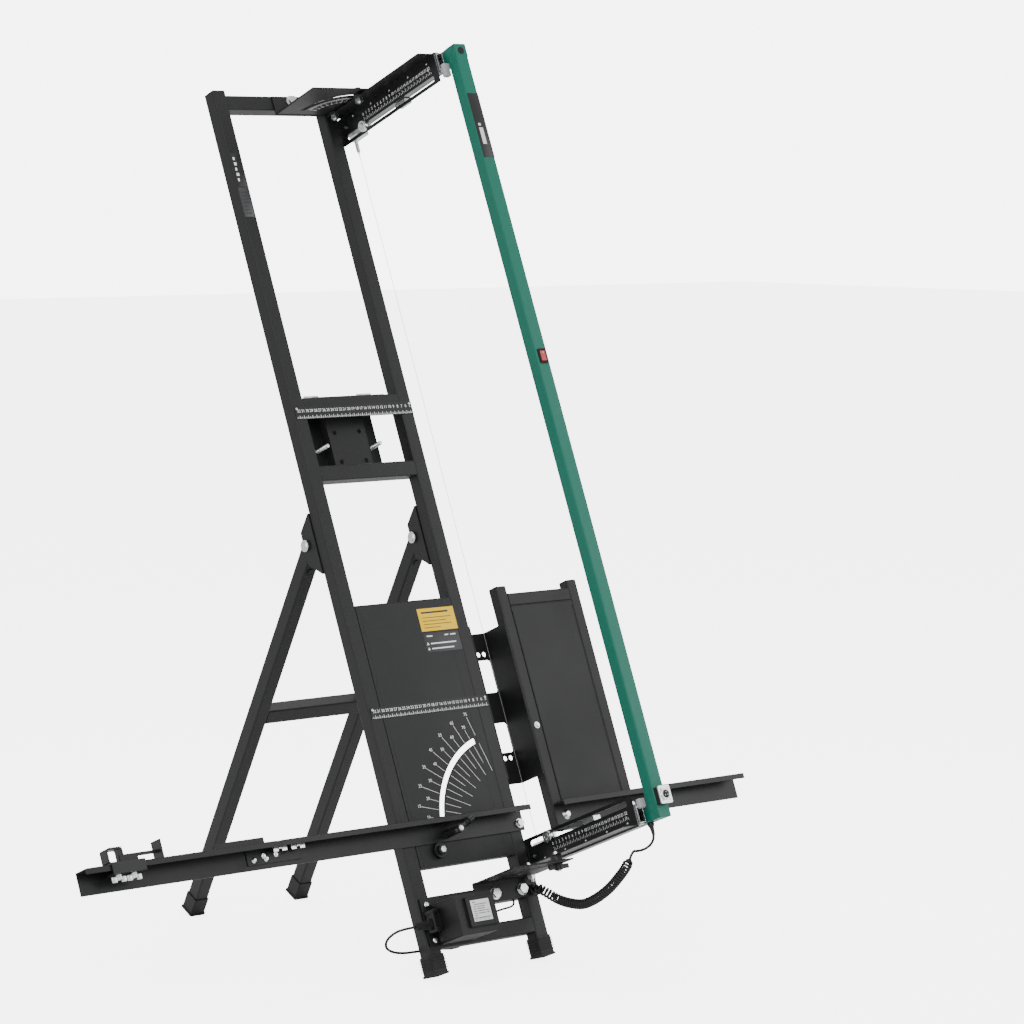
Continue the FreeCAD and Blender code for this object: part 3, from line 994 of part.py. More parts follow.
MAINS_LOW = SIZES["mains_cord"] / 2 + 0.05
RELIEF_END = number(f"{SHOULDER_LEFT} - 38")
MAINS_ROUTE = [
    on_board(RELIEF_END, number(RELIEF_U), number(RELIEF_N)),
    on_board(-197, 91, 16),
    on_board(-218, 88.5, 8),
    on_board(-230, 79, -6),
    on_board(-225, 67.5, -20),
    on_board(-204, 58.5, -31),
    on_board(-173, 53.6, -36.3),
    on_board(-140, 53.2, -36.8),
    on_board(-112, 51, -37.2),
    Vector(-93.5, 80, 34),
    Vector(-77, 99.5, 17),
    Vector(-55, 127, 5.2),
    Vector(-26, 161.5, MAINS_LOW),
    Vector(6.6, 202.1, MAINS_LOW),
    Vector(28.1, 228.4, MAINS_LOW),
]
cord("mains_cord", "mains_cord", MAINS_ROUTE)

# the put-away length: a flat coil on the floor, with a stub that the cord's end meets
coil_centre = Vector(SIZES["coil_x"], SIZES["coil_y"], 0)
coil_stub = (MAINS_ROUTE[-1] - MAINS_ROUTE[-2]).normalize()
coil_turn = Rotation(Vector(0, 0, 1), coil_stub)
COIL_OUT = "(coil_middle + coil_wide * mains_cord) / 2"
COIL_IN = "(coil_middle - coil_wide * mains_cord) / 2"


def upright_rod(name, radius, height, low="0"):
    """A vertical cylinder about the coil's centre."""
    obj = doc.addObject("Part::Cylinder", name)
    bind(obj, Radius=radius, Height=height, Placement__Base__x="coil_x", Placement__Base__y="coil_y",
         Placement__Base__z=low)
    return obj


coil_ring = cut("coil_ring", upright_rod("coil_disc", COIL_OUT, "coil_high * mains_cord"),
                upright_rod("coil_hole", COIL_IN, "coil_high * mains_cord + 2", "-1"))
stub = doc.addObject("Part::Cylinder", "coil_stub")
bind(stub, Radius="mains_cord / 2", Height="coil_stub")
stub.Placement = FreeCAD.Placement(MAINS_ROUTE[-1], coil_turn)
standing("mains_coil", fuse("coil_all", coil_ring, stub))

# flat two-pin plug, lying on the coil
PLUG_LOW = "(coil_high * mains_cord)"
heading = math.degrees(math.atan2(coil_stub.y, coil_stub.x))


def on_coil(obj, back, side, low):
    """Lay a box or cylinder on the coil: `back` along the plug from its middle, `side` across it."""
    turn = Rotation(Vector(0, 0, 1), heading)
    offset = turn.multVec(Vector(number(back), number(side), 0))
    lie = Rotation(Vector(0, 1, 0), 90) if obj.TypeId == "Part::Cylinder" else Rotation()
    obj.Placement = FreeCAD.Placement(coil_centre + offset, turn.multiply(lie))
    bind(obj, Placement__Base__z=low)
    return obj


plug_body = doc.addObject("Part::Box", "plug_body")
bind(plug_body, Length="plug_long", Width="plug_width", Height="plug_thick")
on_coil(plug_body, "-plug_long / 2", "-plug_width / 2", PLUG_LOW)
pins = []
for tag, side in (("a", "-pin_pitch / 2"), ("b", "pin_pitch / 2")):
    pin = doc.addObject("Part::Cylinder", f"plug_pin_{tag}")
    bind(pin, Radius="plug_pin / 2", Height="20")
    pins.append(on_coil(pin, "plug_long / 2 - 1", side, f"{PLUG_LOW} + plug_thick / 2"))
standing("mains_plug", fuse("plug_all", plug_body, *pins))

# short lead from the housing's right side into the lower bar's underside
HOUSE_RIGHT = "(housing_left + housing_width)"
cord("transformer_lead", "short_lead", [
    on_board(number(HOUSE_RIGHT), 92, 24),
    on_board(-16, 92.3, 22.5),
    on_board(6, 93.5, 16),
    on_board(31, 96.5, 6.5),
    on_board(57, 100, -3.5),
    on_board(80, 102, -11.5),
    on_board(94, 106.5, -15),
    on_board(94.5, number("lower_bar_low"), -15.2),
])

# curly lead: its gland on the lower bracket, the curls as one fat tube, and the plain lead up to the bow
GLAND_FACE = number("plate_metal + 4")
CURL_TOP = on_board(133.4, 114, 292.6)
cord("curly_lead", "curl", [
    on_board(number(GLAND[0]), number(GLAND[1]), GLAND_FACE),
    on_board(129, 126, 21),
    on_board(138, 111, 34),
    on_board(147.5, 92, 50),
    on_board(146.5, 76.5, 84),
    on_board(142.5, 65.5, 121),
    on_board(139.5, 66.5, 163),
    on_board(139.3, 74.5, 205),
    on_board(134.3, 86.5, 244),
    on_board(134, 101, 277),
    CURL_TOP,
])
cord("bow_lead", "lead", [
    on_board(number("bow_left + 10"), number("bow_low - 5"), number(BOW_LEAD_N)),
    on_board(184, 151, 314),
    on_board(181, 138, 315),
    on_board(171.5, 128, 313.5),
    on_board(157, 122, 310),
    on_board(143, 121.5, 304.5),
    on_board(133.1, 123.5, 303.6),
    on_board(133.39, 114.26, 292.9),
])

# ---- finish: the origin goes below the middle of everything but the cords
CORD_NODES = ("mains_cord", "mains_coil", "mains_plug", "curly_lead", "bow_lead", "transformer_lead")
doc.recompute()
whole = FreeCAD.BoundBox()
for label, shape in nodes.items():
    if label not in CORD_NODES:
        whole.add(shape.Shape.BoundBox)
sheet.set("centre_x", str(round(whole.Center.x, 3)))
sheet.set("centre_y", str(round(whole.Center.y, 3)))
doc.recompute()

for obj in doc.Objects:
    if "Invalid" in obj.State or "Error" in obj.State:
        raise RuntimeError(f"{obj.Label} failed: {obj.State}")
for label, shape in nodes.items():
    if shape.Shape.isNull() or not shape.Shape.isValid() or not shape.Shape.Solids:
        raise RuntimeError(f"{label} has no valid shape")
for label, shape in nodes.items():
    shape.Shape.exportStep(f"parts/{label}.step")
size = (whole.XLength, whole.YLength, whole.ZLength)
print(f"origin below x {whole.Center.x:.3f}, y {whole.Center.y:.3f} of the stand's frame")
print(f"{len(nodes)} nodes, {size[0]:.0f} x {size[1]:.0f} x {size[2]:.0f} mm")
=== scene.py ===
"""Looks of the hot-wire foam cutter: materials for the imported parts, and the fine pieces on them.

Sizes are millimetres in one of two frames. The board frame has x right, u up along the leaning
stand and n out of its front; the floor frame has x right, y back and z up.
"""

import bmesh
import bpy
import json
import logging
import math
from dataclasses import dataclass
from enum import Enum
from mathutils import Matrix, Vector
from typing import Callable, Iterable, Sequence

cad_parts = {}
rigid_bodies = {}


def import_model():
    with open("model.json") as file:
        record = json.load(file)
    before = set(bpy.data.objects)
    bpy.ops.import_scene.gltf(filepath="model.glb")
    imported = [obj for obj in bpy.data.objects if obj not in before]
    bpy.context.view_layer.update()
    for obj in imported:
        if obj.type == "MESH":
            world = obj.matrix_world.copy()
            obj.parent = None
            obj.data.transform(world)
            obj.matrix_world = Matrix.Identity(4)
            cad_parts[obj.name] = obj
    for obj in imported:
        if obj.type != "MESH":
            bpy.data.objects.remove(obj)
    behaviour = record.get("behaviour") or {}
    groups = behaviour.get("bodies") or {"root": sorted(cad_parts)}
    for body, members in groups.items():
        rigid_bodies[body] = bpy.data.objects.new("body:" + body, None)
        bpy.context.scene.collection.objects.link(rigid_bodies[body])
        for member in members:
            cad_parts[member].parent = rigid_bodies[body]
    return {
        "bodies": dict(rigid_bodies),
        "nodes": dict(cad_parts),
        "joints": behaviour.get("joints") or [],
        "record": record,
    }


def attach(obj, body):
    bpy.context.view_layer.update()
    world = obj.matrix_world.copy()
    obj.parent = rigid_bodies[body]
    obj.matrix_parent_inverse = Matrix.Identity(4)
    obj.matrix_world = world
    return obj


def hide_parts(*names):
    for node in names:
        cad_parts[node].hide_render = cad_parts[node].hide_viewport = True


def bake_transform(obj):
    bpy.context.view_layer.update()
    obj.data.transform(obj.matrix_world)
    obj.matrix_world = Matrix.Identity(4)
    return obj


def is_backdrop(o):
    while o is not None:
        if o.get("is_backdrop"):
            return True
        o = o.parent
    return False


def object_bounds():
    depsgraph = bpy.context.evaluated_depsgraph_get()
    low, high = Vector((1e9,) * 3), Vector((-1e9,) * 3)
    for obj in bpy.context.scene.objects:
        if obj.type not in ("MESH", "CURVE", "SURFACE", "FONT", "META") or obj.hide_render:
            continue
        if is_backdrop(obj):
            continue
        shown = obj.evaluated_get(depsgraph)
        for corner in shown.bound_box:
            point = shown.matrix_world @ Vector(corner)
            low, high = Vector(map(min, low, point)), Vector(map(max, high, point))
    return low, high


log = logging.getLogger("foam_cutter")
Point = Sequence[float]

LEAN = math.radians(22.8)
S, C = math.sin(LEAN), math.cos(LEAN)
RISE = 33.5 * S
BOARD = Matrix(((1e-3, 0, 0, 0.072), (0, S * 1e-3, -C * 1e-3, -0.2663), (0, C * 1e-3, S * 1e-3, RISE * 1e-3),
                (0, 0, 0, 1)))
FLOOR = Matrix(((1e-3, 0, 0, 0.072), (0, 1e-3, 0, -0.2663), (0, 0, 1e-3, 0), (0, 0, 0, 1)))


# ---------------------------------------------------------------- finishes


class Look(Enum):
    """How a finish's fine surface is made."""

    COAT = "powder coat"
    BRUSHED = "brushed metal"
    MOULDED = "moulded plastic"
    PRINT = "printed ink"
    CLEAR = "clear plastic"


@dataclass(frozen=True)
class Finish:
    """One finish: its colours, gloss and grain.

    Attributes:
        slot: The record's material slot that it stands for.
        color: Linear base colour.
        fleck: Linear colour of its worn or dusty parts.
        rough: Roughness.
        look: Which surface it has.
        grain: Bumps per metre.
        depth: Bump distance in metres.
        vary: How much the fleck colour shows, 0 to 1.
        metal: Metallic share.
        coat: Coat weight.
        edge: Radius of softened edges in metres.
        gloss: Specular level.
    """

    slot: str
    color: tuple[float, float, float]
    fleck: tuple[float, float, float]
    rough: float
    look: Look
    grain: float
    depth: float
    vary: float = 0.2
    metal: float = 0.0
    coat: float = 0.0
    edge: float = 0.0
    gloss: float = 0.28


FINISHES: dict[str, Finish] = {
    "frame": Finish("frame_black", (0.0062, 0.0063, 0.0068), (0.022, 0.022, 0.023), 0.46, Look.COAT, 620,
                    0.00018, 0.3, edge=0.0016),
    "panel": Finish("panel_black", (0.0078, 0.008, 0.0087), (0.02, 0.02, 0.021), 0.5, Look.COAT, 480, 0.00012,
                    0.25, edge=0.0012),
    "rail": Finish("rail_black", (0.0042, 0.0043, 0.0047), (0.018, 0.018, 0.019), 0.38, Look.COAT, 700,
                   0.0001, 0.3, edge=0.001),
    "stop": Finish("stop_metal", (0.0065, 0.0065, 0.007), (0.08, 0.08, 0.08), 0.36, Look.COAT, 420, 0.00012,
                   0.22, edge=0.001),
    "cap": Finish("cap_black", (0.004, 0.004, 0.0043), (0.012, 0.012, 0.012), 0.5, Look.MOULDED, 900, 0.00012,
                  0.2, edge=0.001),
    "ruler": Finish("ruler_scale", (0.009, 0.0092, 0.0098), (0.03, 0.03, 0.032), 0.4, Look.BRUSHED, 240,
                    0.00003, 0.4, metal=0.1),
    "zinc": Finish("zinc", (0.66, 0.67, 0.685), (0.4, 0.4, 0.4), 0.27, Look.BRUSHED, 380, 0.00003, 0.35,
                   metal=1.0, edge=0.0006),
    "lever": Finish("lever", (0.011, 0.011, 0.012), (0.03, 0.03, 0.03), 0.36, Look.MOULDED, 900, 0.0001,
                    edge=0.001),
    "spacer": Finish("spacer_dark", (0.03, 0.03, 0.032), (0.06, 0.06, 0.06), 0.5, Look.MOULDED, 800, 0.0001),
    "knob": Finish("knob_black", (0.012, 0.012, 0.013), (0.03, 0.03, 0.03), 0.4, Look.MOULDED, 800, 0.0001,
                   edge=0.0008),
    "clear": Finish("knob_clear", (0.8, 0.82, 0.83), (0.7, 0.72, 0.74), 0.16, Look.CLEAR, 300, 0.00005, 0.1),
    "green": Finish("bow_green", (0.0, 0.104, 0.069), (0.0, 0.13, 0.088), 0.42, Look.COAT, 560, 0.00016, 0.35,
                    coat=0.02, edge=0.0018),
    "mould": Finish("moulding_black", (0.0048, 0.0048, 0.0053), (0.014, 0.014, 0.015), 0.46, Look.MOULDED,
                    1100, 0.00014, 0.25, edge=0.0012),
    "red": Finish("rocker_red", (0.33, 0.002, 0.002), (0.42, 0.01, 0.006), 0.22, Look.MOULDED, 500, 0.00003,
                  0.2, coat=0.4, edge=0.0006),
    "wire": Finish("wire", (0.22, 0.215, 0.205), (0.15, 0.13, 0.1), 0.35, Look.BRUSHED, 500, 0.00002, 0.5,
                   metal=1.0),
    "cord": Finish("cord_black", (0.009, 0.009, 0.0095), (0.02, 0.02, 0.02), 0.42, Look.MOULDED, 700, 0.00006,
                   0.2),
    "white": Finish("ruler_scale", (0.74, 0.745, 0.75), (0.55, 0.55, 0.55), 0.5, Look.PRINT, 900, 0.00002,
                    0.3),
    "paper": Finish("moulding_black", (0.6, 0.605, 0.61), (0.5, 0.5, 0.51), 0.42, Look.PRINT, 900, 0.00002,
                    0.2),
    "ink": Finish("moulding_black", (0.02, 0.02, 0.022), (0.05, 0.05, 0.05), 0.5, Look.PRINT, 900, 0.00002),
    "black_label": Finish("bow_green", (0.013, 0.013, 0.014), (0.03, 0.03, 0.03), 0.3, Look.PRINT, 700,
                          0.00002),
    "grey_label": Finish("panel_black", (0.03, 0.03, 0.032), (0.05, 0.05, 0.05), 0.4, Look.PRINT, 700,
                         0.00002),
    "yellow_label": Finish("panel_black", (0.72, 0.45, 0.0), (0.66, 0.4, 0.0), 0.4, Look.PRINT, 700, 0.00002),
    "plate": Finish("frame_black", (0.05, 0.05, 0.052), (0.1, 0.1, 0.1), 0.3, Look.BRUSHED, 400, 0.00002, 0.4,
                    metal=0.4),
    # slide: the slides' outer members, darkened from zinc to dark grey; the dark tone is painted shade for
    # the slides seen deep inside the arms' slots.
    "slide": Finish("zinc", (0.14, 0.142, 0.15), (0.08, 0.08, 0.08), 0.33, Look.BRUSHED, 380, 0.00003, 0.4,
                    metal=0.95, edge=0.0006),
    "buffer": Finish("spacer_dark", (0.3, 0.305, 0.31), (0.2, 0.2, 0.2), 0.45, Look.MOULDED, 600, 0.0001,
                     0.3),
}


class NodeGraph:
    """A small wrapper over a node tree."""

    def __init__(self, tree: bpy.types.NodeTree) -> None:
        """Take the tree over and empty it."""
        self.tree = tree
        tree.nodes.clear()

    def add(self, kind: str, **settings: object) -> bpy.types.Node:
        """Add a node of a kind, setting its properties."""
        node = self.tree.nodes.new(kind)
        for key, value in settings.items():
            setattr(node, key, value)
        return node

    def link(self, out: bpy.types.NodeSocket, into: bpy.types.NodeSocket) -> None:
        """Join an output to an input."""
        self.tree.links.new(out, into)

    def math(self, operation: str, first: object, second: object = 0.0) -> bpy.types.NodeSocket:
        """Add a math node.

        Args:
            operation: Its operation's name.
            first: A socket or a number.
            second: A socket or a number.

        Returns:
            Its output socket.
        """
        node = self.add("ShaderNodeMath", operation=operation)
        for value, into in ((first, node.inputs[0]), (second, node.inputs[1])):
            if isinstance(value, bpy.types.NodeSocket):
                self.link(value, into)
            else:
                into.default_value = value
        return node.outputs[0]


class Effects:
    """The shader groups that the materials share."""

    def __init__(self) -> None:
        """Build every group once."""
        self.groups = {
            Look.COAT: self._surface("Powder Coat", (1, 1, 1), 3.0, 0.11),
            Look.BRUSHED: self._surface("Brushed Metal", (0.06, 1, 1), 6.0, 0.14),
            Look.MOULDED: self._surface("Moulded Skin", (1, 1, 1), 1.5, 0.07),
            Look.PRINT: self._surface("Printed Ink", (1, 1, 1), 2.0, 0.05),
            Look.CLEAR: self._surface("Clear Moulding", (1, 1, 1), 1.0, 0.04),
        }
        self.edge = self._edge()

    @staticmethod
    def _surface(name: str, stretch: Point, detail: float, swing: float) -> bpy.types.NodeTree:
        """A group that turns object coordinates into colour, roughness and height.

        Args:
            name: The group's name.
            stretch: How the grain is drawn out along each axis.
            detail: Octaves of the fine noise.
            swing: How much the roughness varies.

        Returns:
            The group.
        """
        tree = bpy.data.node_groups.new(name, "ShaderNodeTree")
        graph = NodeGraph(tree)
        for label, kind in (("Color", "NodeSocketColor"), ("Fleck", "NodeSocketColor"),
                            ("Grain", "NodeSocketFloat"), ("Vary", "NodeSocketFloat"),
                            ("Rough", "NodeSocketFloat")):
            tree.interface.new_socket(name=label, in_out="INPUT", socket_type=kind)
        for label, kind in (("Color", "NodeSocketColor"), ("Roughness", "NodeSocketFloat"),
                            ("Height", "NodeSocketFloat")):
            tree.interface.new_socket(name=label, in_out="OUTPUT", socket_type=kind)
        given, out = graph.add("NodeGroupInput"), graph.add("NodeGroupOutput")
        where = graph.add("ShaderNodeTexCoord")
        drawn = graph.add("ShaderNodeMapping")
        drawn.inputs["Scale"].default_value = stretch
        graph.link(where.outputs["Object"], drawn.inputs["Vector"])
        fine = graph.add("ShaderNodeTexNoise")
        fine.inputs["Detail"].default_value = detail
        graph.link(drawn.outputs[0], fine.inputs["Vector"])
        graph.link(given.outputs["Grain"], fine.inputs["Scale"])
        broad = graph.add("ShaderNodeTexNoise")
        broad.inputs["Scale"].default_value = 9.0
        broad.inputs["Detail"].default_value = 5.0
        graph.link(where.outputs["Object"], broad.inputs["Vector"])
        speck = graph.add("ShaderNodeTexVoronoi")
        speck.inputs["Randomness"].default_value = 1.0
        graph.link(drawn.outputs[0], speck.inputs["Vector"])
        graph.link(graph.math("MULTIPLY", given.outputs["Grain"], 0.8), speck.inputs["Scale"])
        handled = graph.math("MULTIPLY", graph.math("SUBTRACT", broad.outputs["Fac"], 0.42), 3.0)
        facing = graph.add("ShaderNodeNewGeometry")
        apart = graph.add("ShaderNodeSeparateXYZ")
        graph.link(facing.outputs["Normal"], apart.inputs[0])
        dust = graph.math("MULTIPLY", graph.math("MAXIMUM", apart.outputs["Z"], 0.0), 0.35)
        mask = graph.math("ADD", graph.math("MULTIPLY", handled, fine.outputs["Fac"]), dust)
        mask = graph.math("MULTIPLY", graph.math("MINIMUM", graph.math("MAXIMUM", mask, 0.0), 1.0),
                          given.outputs["Vary"])
        mix = graph.add("ShaderNodeMix", data_type="RGBA")
        graph.link(mask, mix.inputs["Factor"])
        graph.link(given.outputs["Color"], mix.inputs[6])
        graph.link(given.outputs["Fleck"], mix.inputs[7])
        graph.link(mix.outputs[2], out.inputs["Color"])
        change = graph.math("MULTIPLY", graph.math("SUBTRACT", broad.outputs["Fac"], 0.5), 2 * swing)
        graph.link(graph.math("ADD", given.outputs["Rough"], change), out.inputs["Roughness"])
        graph.link(graph.math("ADD", fine.outputs["Fac"],
                              graph.math("MULTIPLY", speck.outputs["Distance"], 0.5)),
                   out.inputs["Height"])
        return tree

    @staticmethod
    def _edge() -> bpy.types.NodeTree:
        """A group whose normal is rounded near hard edges."""
        tree = bpy.data.node_groups.new("Soft Edge", "ShaderNodeTree")
        graph = NodeGraph(tree)
        tree.interface.new_socket(name="Radius", in_out="INPUT", socket_type="NodeSocketFloat")
        tree.interface.new_socket(name="Normal", in_out="OUTPUT", socket_type="NodeSocketVector")
        given, out = graph.add("NodeGroupInput"), graph.add("NodeGroupOutput")
        bevel = graph.add("ShaderNodeBevel", samples=4)
        graph.link(given.outputs["Radius"], bevel.inputs["Radius"])
        graph.link(bevel.outputs[0], out.inputs["Normal"])
        return tree


class Paints:
    """Makes each finish's material the first time that it is asked for."""

    def __init__(self) -> None:
        """Start with the shared groups and no materials."""
        self.effects = Effects()
        self.made: dict[str, bpy.types.Material] = {}

    def __getitem__(self, name: str) -> bpy.types.Material:
        """The material of a finish."""
        if name not in self.made:
            self.made[name] = self._make(name, FINISHES[name])
        return self.made[name]

    def _make(self, name: str, finish: Finish) -> bpy.types.Material:
        """Build one material.

        Args:
            name: The finish's name.
            finish: Its numbers.

        Returns:
            The material.
        """
        material = bpy.data.materials.new(f"fc_{name}")
        material.use_nodes = True
        graph = NodeGraph(material.node_tree)
        shader, out = graph.add("ShaderNodeBsdfPrincipled"), graph.add("ShaderNodeOutputMaterial")
        graph.link(shader.outputs[0], out.inputs["Surface"])
        skin = graph.add("ShaderNodeGroup", node_tree=self.effects.groups[finish.look])
        skin.inputs["Color"].default_value = (*finish.color, 1)
        skin.inputs["Fleck"].default_value = (*finish.fleck, 1)
        skin.inputs["Grain"].default_value = finish.grain
        skin.inputs["Vary"].default_value = finish.vary
        skin.inputs["Rough"].default_value = finish.rough
        graph.link(skin.outputs["Color"], shader.inputs["Base Color"])
        graph.link(skin.outputs["Roughness"], shader.inputs["Roughness"])
        shader.inputs["Metallic"].default_value = finish.metal
        shader.inputs["Coat Weight"].default_value = finish.coat
        shader.inputs["Specular IOR Level"].default_value = finish.gloss
        bump = graph.add("ShaderNodeBump")
        bump.inputs["Distance"].default_value = finish.depth
        graph.link(skin.outputs["Height"], bump.inputs["Height"])
        graph.link(bump.outputs[0], shader.inputs["Normal"])
        if finish.edge:
            edge = graph.add("ShaderNodeGroup", node_tree=self.effects.edge)
            edge.inputs["Radius"].default_value = finish.edge
            graph.link(edge.outputs["Normal"], bump.inputs["Normal"])
        if finish.look is Look.CLEAR:
            shader.inputs["Transmission Weight"].default_value = 0.2
            shader.inputs["IOR"].default_value = 1.49
        material.diffuse_color = (*finish.color, 1)
        return material


# ---------------------------------------------------------------- mesh building


class Lettering:
    """Digits and marks as flat meshes, from the built-in font."""

    def __init__(self) -> None:
        """Start with no text made."""
        self.made: dict[str, tuple[list[tuple[float, float]], list[tuple[int, ...]]]] = {}

    def outline(self, text: str) -> tuple[list[tuple[float, float]], list[tuple[int, ...]]]:
        """The text's points, one unit high and centred, and its faces."""
        if text not in self.made:
            curve = bpy.data.curves.new("lettering", "FONT")
            curve.body = text
            curve.align_x, curve.align_y = "CENTER", "CENTER"
            curve.resolution_u = 3
            holder = bpy.data.objects.new("lettering", curve)
            mesh = bpy.data.meshes.new_from_object(holder)
            points = [(v.co.x, v.co.y) for v in mesh.vertices]
            faces = [tuple(p.vertices) for p in mesh.polygons]
            bpy.data.objects.remove(holder)
            bpy.data.curves.remove(curve)
            bpy.data.meshes.remove(mesh)
            self.made[text] = (points, faces)
        return self.made[text]


LETTERING = Lettering()


class Shape:
    """A mesh in the making, in millimetres of one frame."""

    def __init__(self, to_row: Matrix = BOARD) -> None:
        """Start empty, in the frame that to_row leads out of."""
        self.bm = bmesh.new()
        self.to_row = to_row

    def block(self, low: Point, high: Point, bevel: float = 0.6, segments: int = 2) -> "Shape":
        """Add a box with rounded edges.

        Args:
            low: Its lowest corner.
            high: Its highest corner.
            bevel: Radius of its edges.
            segments: Steps in each rounded edge.

        Returns:
            This shape.
        """
        size = [b - a for a, b in zip(low, high)]
        middle = [(a + b) / 2 for a, b in zip(low, high)]
        made = bmesh.ops.create_cube(self.bm, size=1,
                                     matrix=Matrix.Translation(middle) @ Matrix.Diagonal((*size, 1)))
        edges = list({e for v in made["verts"] for e in v.link_edges})
        bmesh.ops.bevel(self.bm, geom=edges, offset=min(bevel, min(size) * 0.45), segments=segments,
                        profile=0.5, affect="EDGES")
        return self

    def lathe(self, base: Point, axis: Point, profile: Iterable[tuple[float, float]], segments: int = 28,
              turn: float = 0.0) -> "Shape":
        """Add a turned solid.

        Args:
            base: The point where its profile's height is 0.
            axis: The direction it is turned about.
            profile: Pairs of radius and height, from the base up.
            segments: Sides round it.
            turn: Angle of its first side.

        Returns:
            This shape.
        """
        frame = Vector(axis).to_track_quat("Z", "Y").to_matrix()
        rings = []
        for radius, height in profile:
            ring = []
            for i in range(segments if radius > 1e-6 else 1):
                a = turn + math.tau * i / segments
                ring.append(self.bm.verts.new(Vector(base) + frame @ Vector((radius * math.cos(a),
                                                                             radius * math.sin(a), height))))
            rings.append(ring)
        for low, high in zip(rings, rings[1:]):
            for i in range(segments):
                j = (i + 1) % segments
                if len(low) == 1 and len(high) > 1:
                    self.bm.faces.new((low[0], high[j], high[i]))
                elif len(high) == 1 and len(low) > 1:
                    self.bm.faces.new((low[i], low[j], high[0]))
                elif len(low) > 1:
                    self.bm.faces.new((low[i], low[j], high[j], high[i]))
        if len(rings[0]) > 1:
            self.bm.faces.new(rings[0][::-1])
        if len(rings[-1]) > 1:
            self.bm.faces.new(rings[-1])
        return self

    def tube(self, points: Sequence[Point], radius: float | Sequence[float], segments: int = 10,
             closed: bool = False) -> "Shape":
        """Add a round tube along points.

        Args:
            points: Its ring centres.
            radius: Its radius, or one for each point.
            segments: Sides round it.
            closed: Whether its ends join.

        Returns:
            This shape.
        """
        line = [Vector(p) for p in points]
        count = len(line)
        radii = [radius] * count if isinstance(radius, (int, float)) else list(radius)
        side = None
        rings = []
        for i, here in enumerate(line):
            before = line[i - 1] if i or closed else here
            after = line[(i + 1) % count] if i < count - 1 or closed else here
            along = (after - before).normalized()
            side = along.orthogonal() if side is None else side - along * side.dot(along)
            side.normalize()
            across = along.cross(side)
            rings.append([self.bm.verts.new(here + (side * math.cos(a) + across * math.sin(a)) * radii[i])
                          for a in (math.tau * k / segments for k in range(segments))])
        pairs = list(zip(rings, rings[1:])) + ([(rings[-1], rings[0])] if closed else [])
        for low, high in pairs:
            for i in range(segments):
                j = (i + 1) % segments
                self.bm.faces.new((low[i], low[j], high[j], high[i]))
        if not closed:
            self.bm.faces.new(rings[0][::-1])
            self.bm.faces.new(rings[-1])
        return self

    def prism(self, outline: Sequence[tuple[float, float]], place: Callable[[float, float, float], Point],
              low: float, high: float) -> "Shape":
        """Add an extruded outline.

        Args:
            outline: Its corners in its own plane.
            place: Turns plane coordinates and a height into a point.
            low: Height of one face.
            high: Height of the other.

        Returns:
            This shape.
        """
        bottom = [self.bm.verts.new(Vector(place(a, b, low))) for a, b in outline]
        top = [self.bm.verts.new(Vector(place(a, b, high))) for a, b in outline]
        count = len(outline)
        self.bm.faces.new(bottom[::-1])
        self.bm.faces.new(top)
        for i in range(count):
            j = (i + 1) % count
            self.bm.faces.new((bottom[i], bottom[j], top[j], top[i]))
        return self

    def quad(self, corners: Sequence[Point]) -> "Shape":
        """Add one flat printed face."""
        self.bm.faces.new([self.bm.verts.new(Vector(p)) for p in corners])
        return self

    def text(self, text: str, at: Point, right: Point, up: Point, height: float) -> "Shape":
        """Add flat lettering.

        Args:
            text: What it says.
            at: Its middle.
            right: Its reading direction.
            up: Its upward direction.
            height: Its letter height.

        Returns:
            This shape.
        """
        points, faces = LETTERING.outline(text)
        r, t, middle = Vector(right).normalized(), Vector(up).normalized(), Vector(at)
        grow = height / 0.7
        verts = [self.bm.verts.new(middle + r * (a * grow) + t * (b * grow)) for a, b in points]
        for face in faces:
            self.bm.faces.new([verts[i] for i in face])
        return self

    def make(self, name: str, finish: str, paints: Paints, sharp: float = 35.0) -> bpy.types.Object:
        """Turn it into an object in the row frame.

        Args:
            name: The piece's name.
            finish: Its finish's name.
            paints: The materials.
            sharp: Edges turned further than this many degrees stay sharp.

        Returns:
            The object.
        """
        bmesh.ops.recalc_face_normals(self.bm, faces=[f for f in self.bm.faces if len(f.edges) and not all(
            e.is_boundary for e in f.edges)])
        self.bm.transform(self.to_row)
        mesh = bpy.data.meshes.new(name)
        self.bm.to_mesh(mesh)
        self.bm.free()
        mesh.shade_smooth()
        mesh.set_sharp_from_angle(angle=math.radians(sharp))
        mesh.materials.append(paints[finish])
        obj = bpy.data.objects.new(name, mesh)
        bpy.context.scene.collection.objects.link(obj)
        return obj


class SubAssembly:
    """A named part of the machine: it dresses its CAD nodes and adds its own pieces."""

    label = "part"
    nodes: dict[str, str] = {}

    def __init__(self, frame: dict, paints: Paints) -> None:
        """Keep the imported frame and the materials."""
        self.frame = frame
        self.paints = paints
        self.count = 0

    def add(self, shape: Shape, name: str, finish: str, body: str = "root") -> bpy.types.Object:
        """Finish a shape as a piece that rides on a body.

        Args:
            shape: The mesh in the making.
            name: The piece's name.
            finish: Its finish's name.
            body: The body it rides on.

        Returns:
            The piece.
        """
        obj = shape.make(name, finish, self.paints)
        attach(obj, body)
        FINISHES[finish].slot
        self.count += 1
        return obj

    def dress(self) -> None:
        """Give the CAD nodes their materials."""
        for node, finish in self.nodes.items():
            mesh = self.frame["nodes"][node].data
            mesh.materials.clear()
            mesh.materials.append(self.paints[finish])

    def pieces(self) -> None:
        """Build the pieces; each part has its own."""

    def build(self) -> None:
        """Dress the nodes, build the pieces and log both."""
        self.dress()
        self.pieces()
        log.info("%s: %d nodes dressed, %d pieces", self.label, len(self.nodes), self.count)


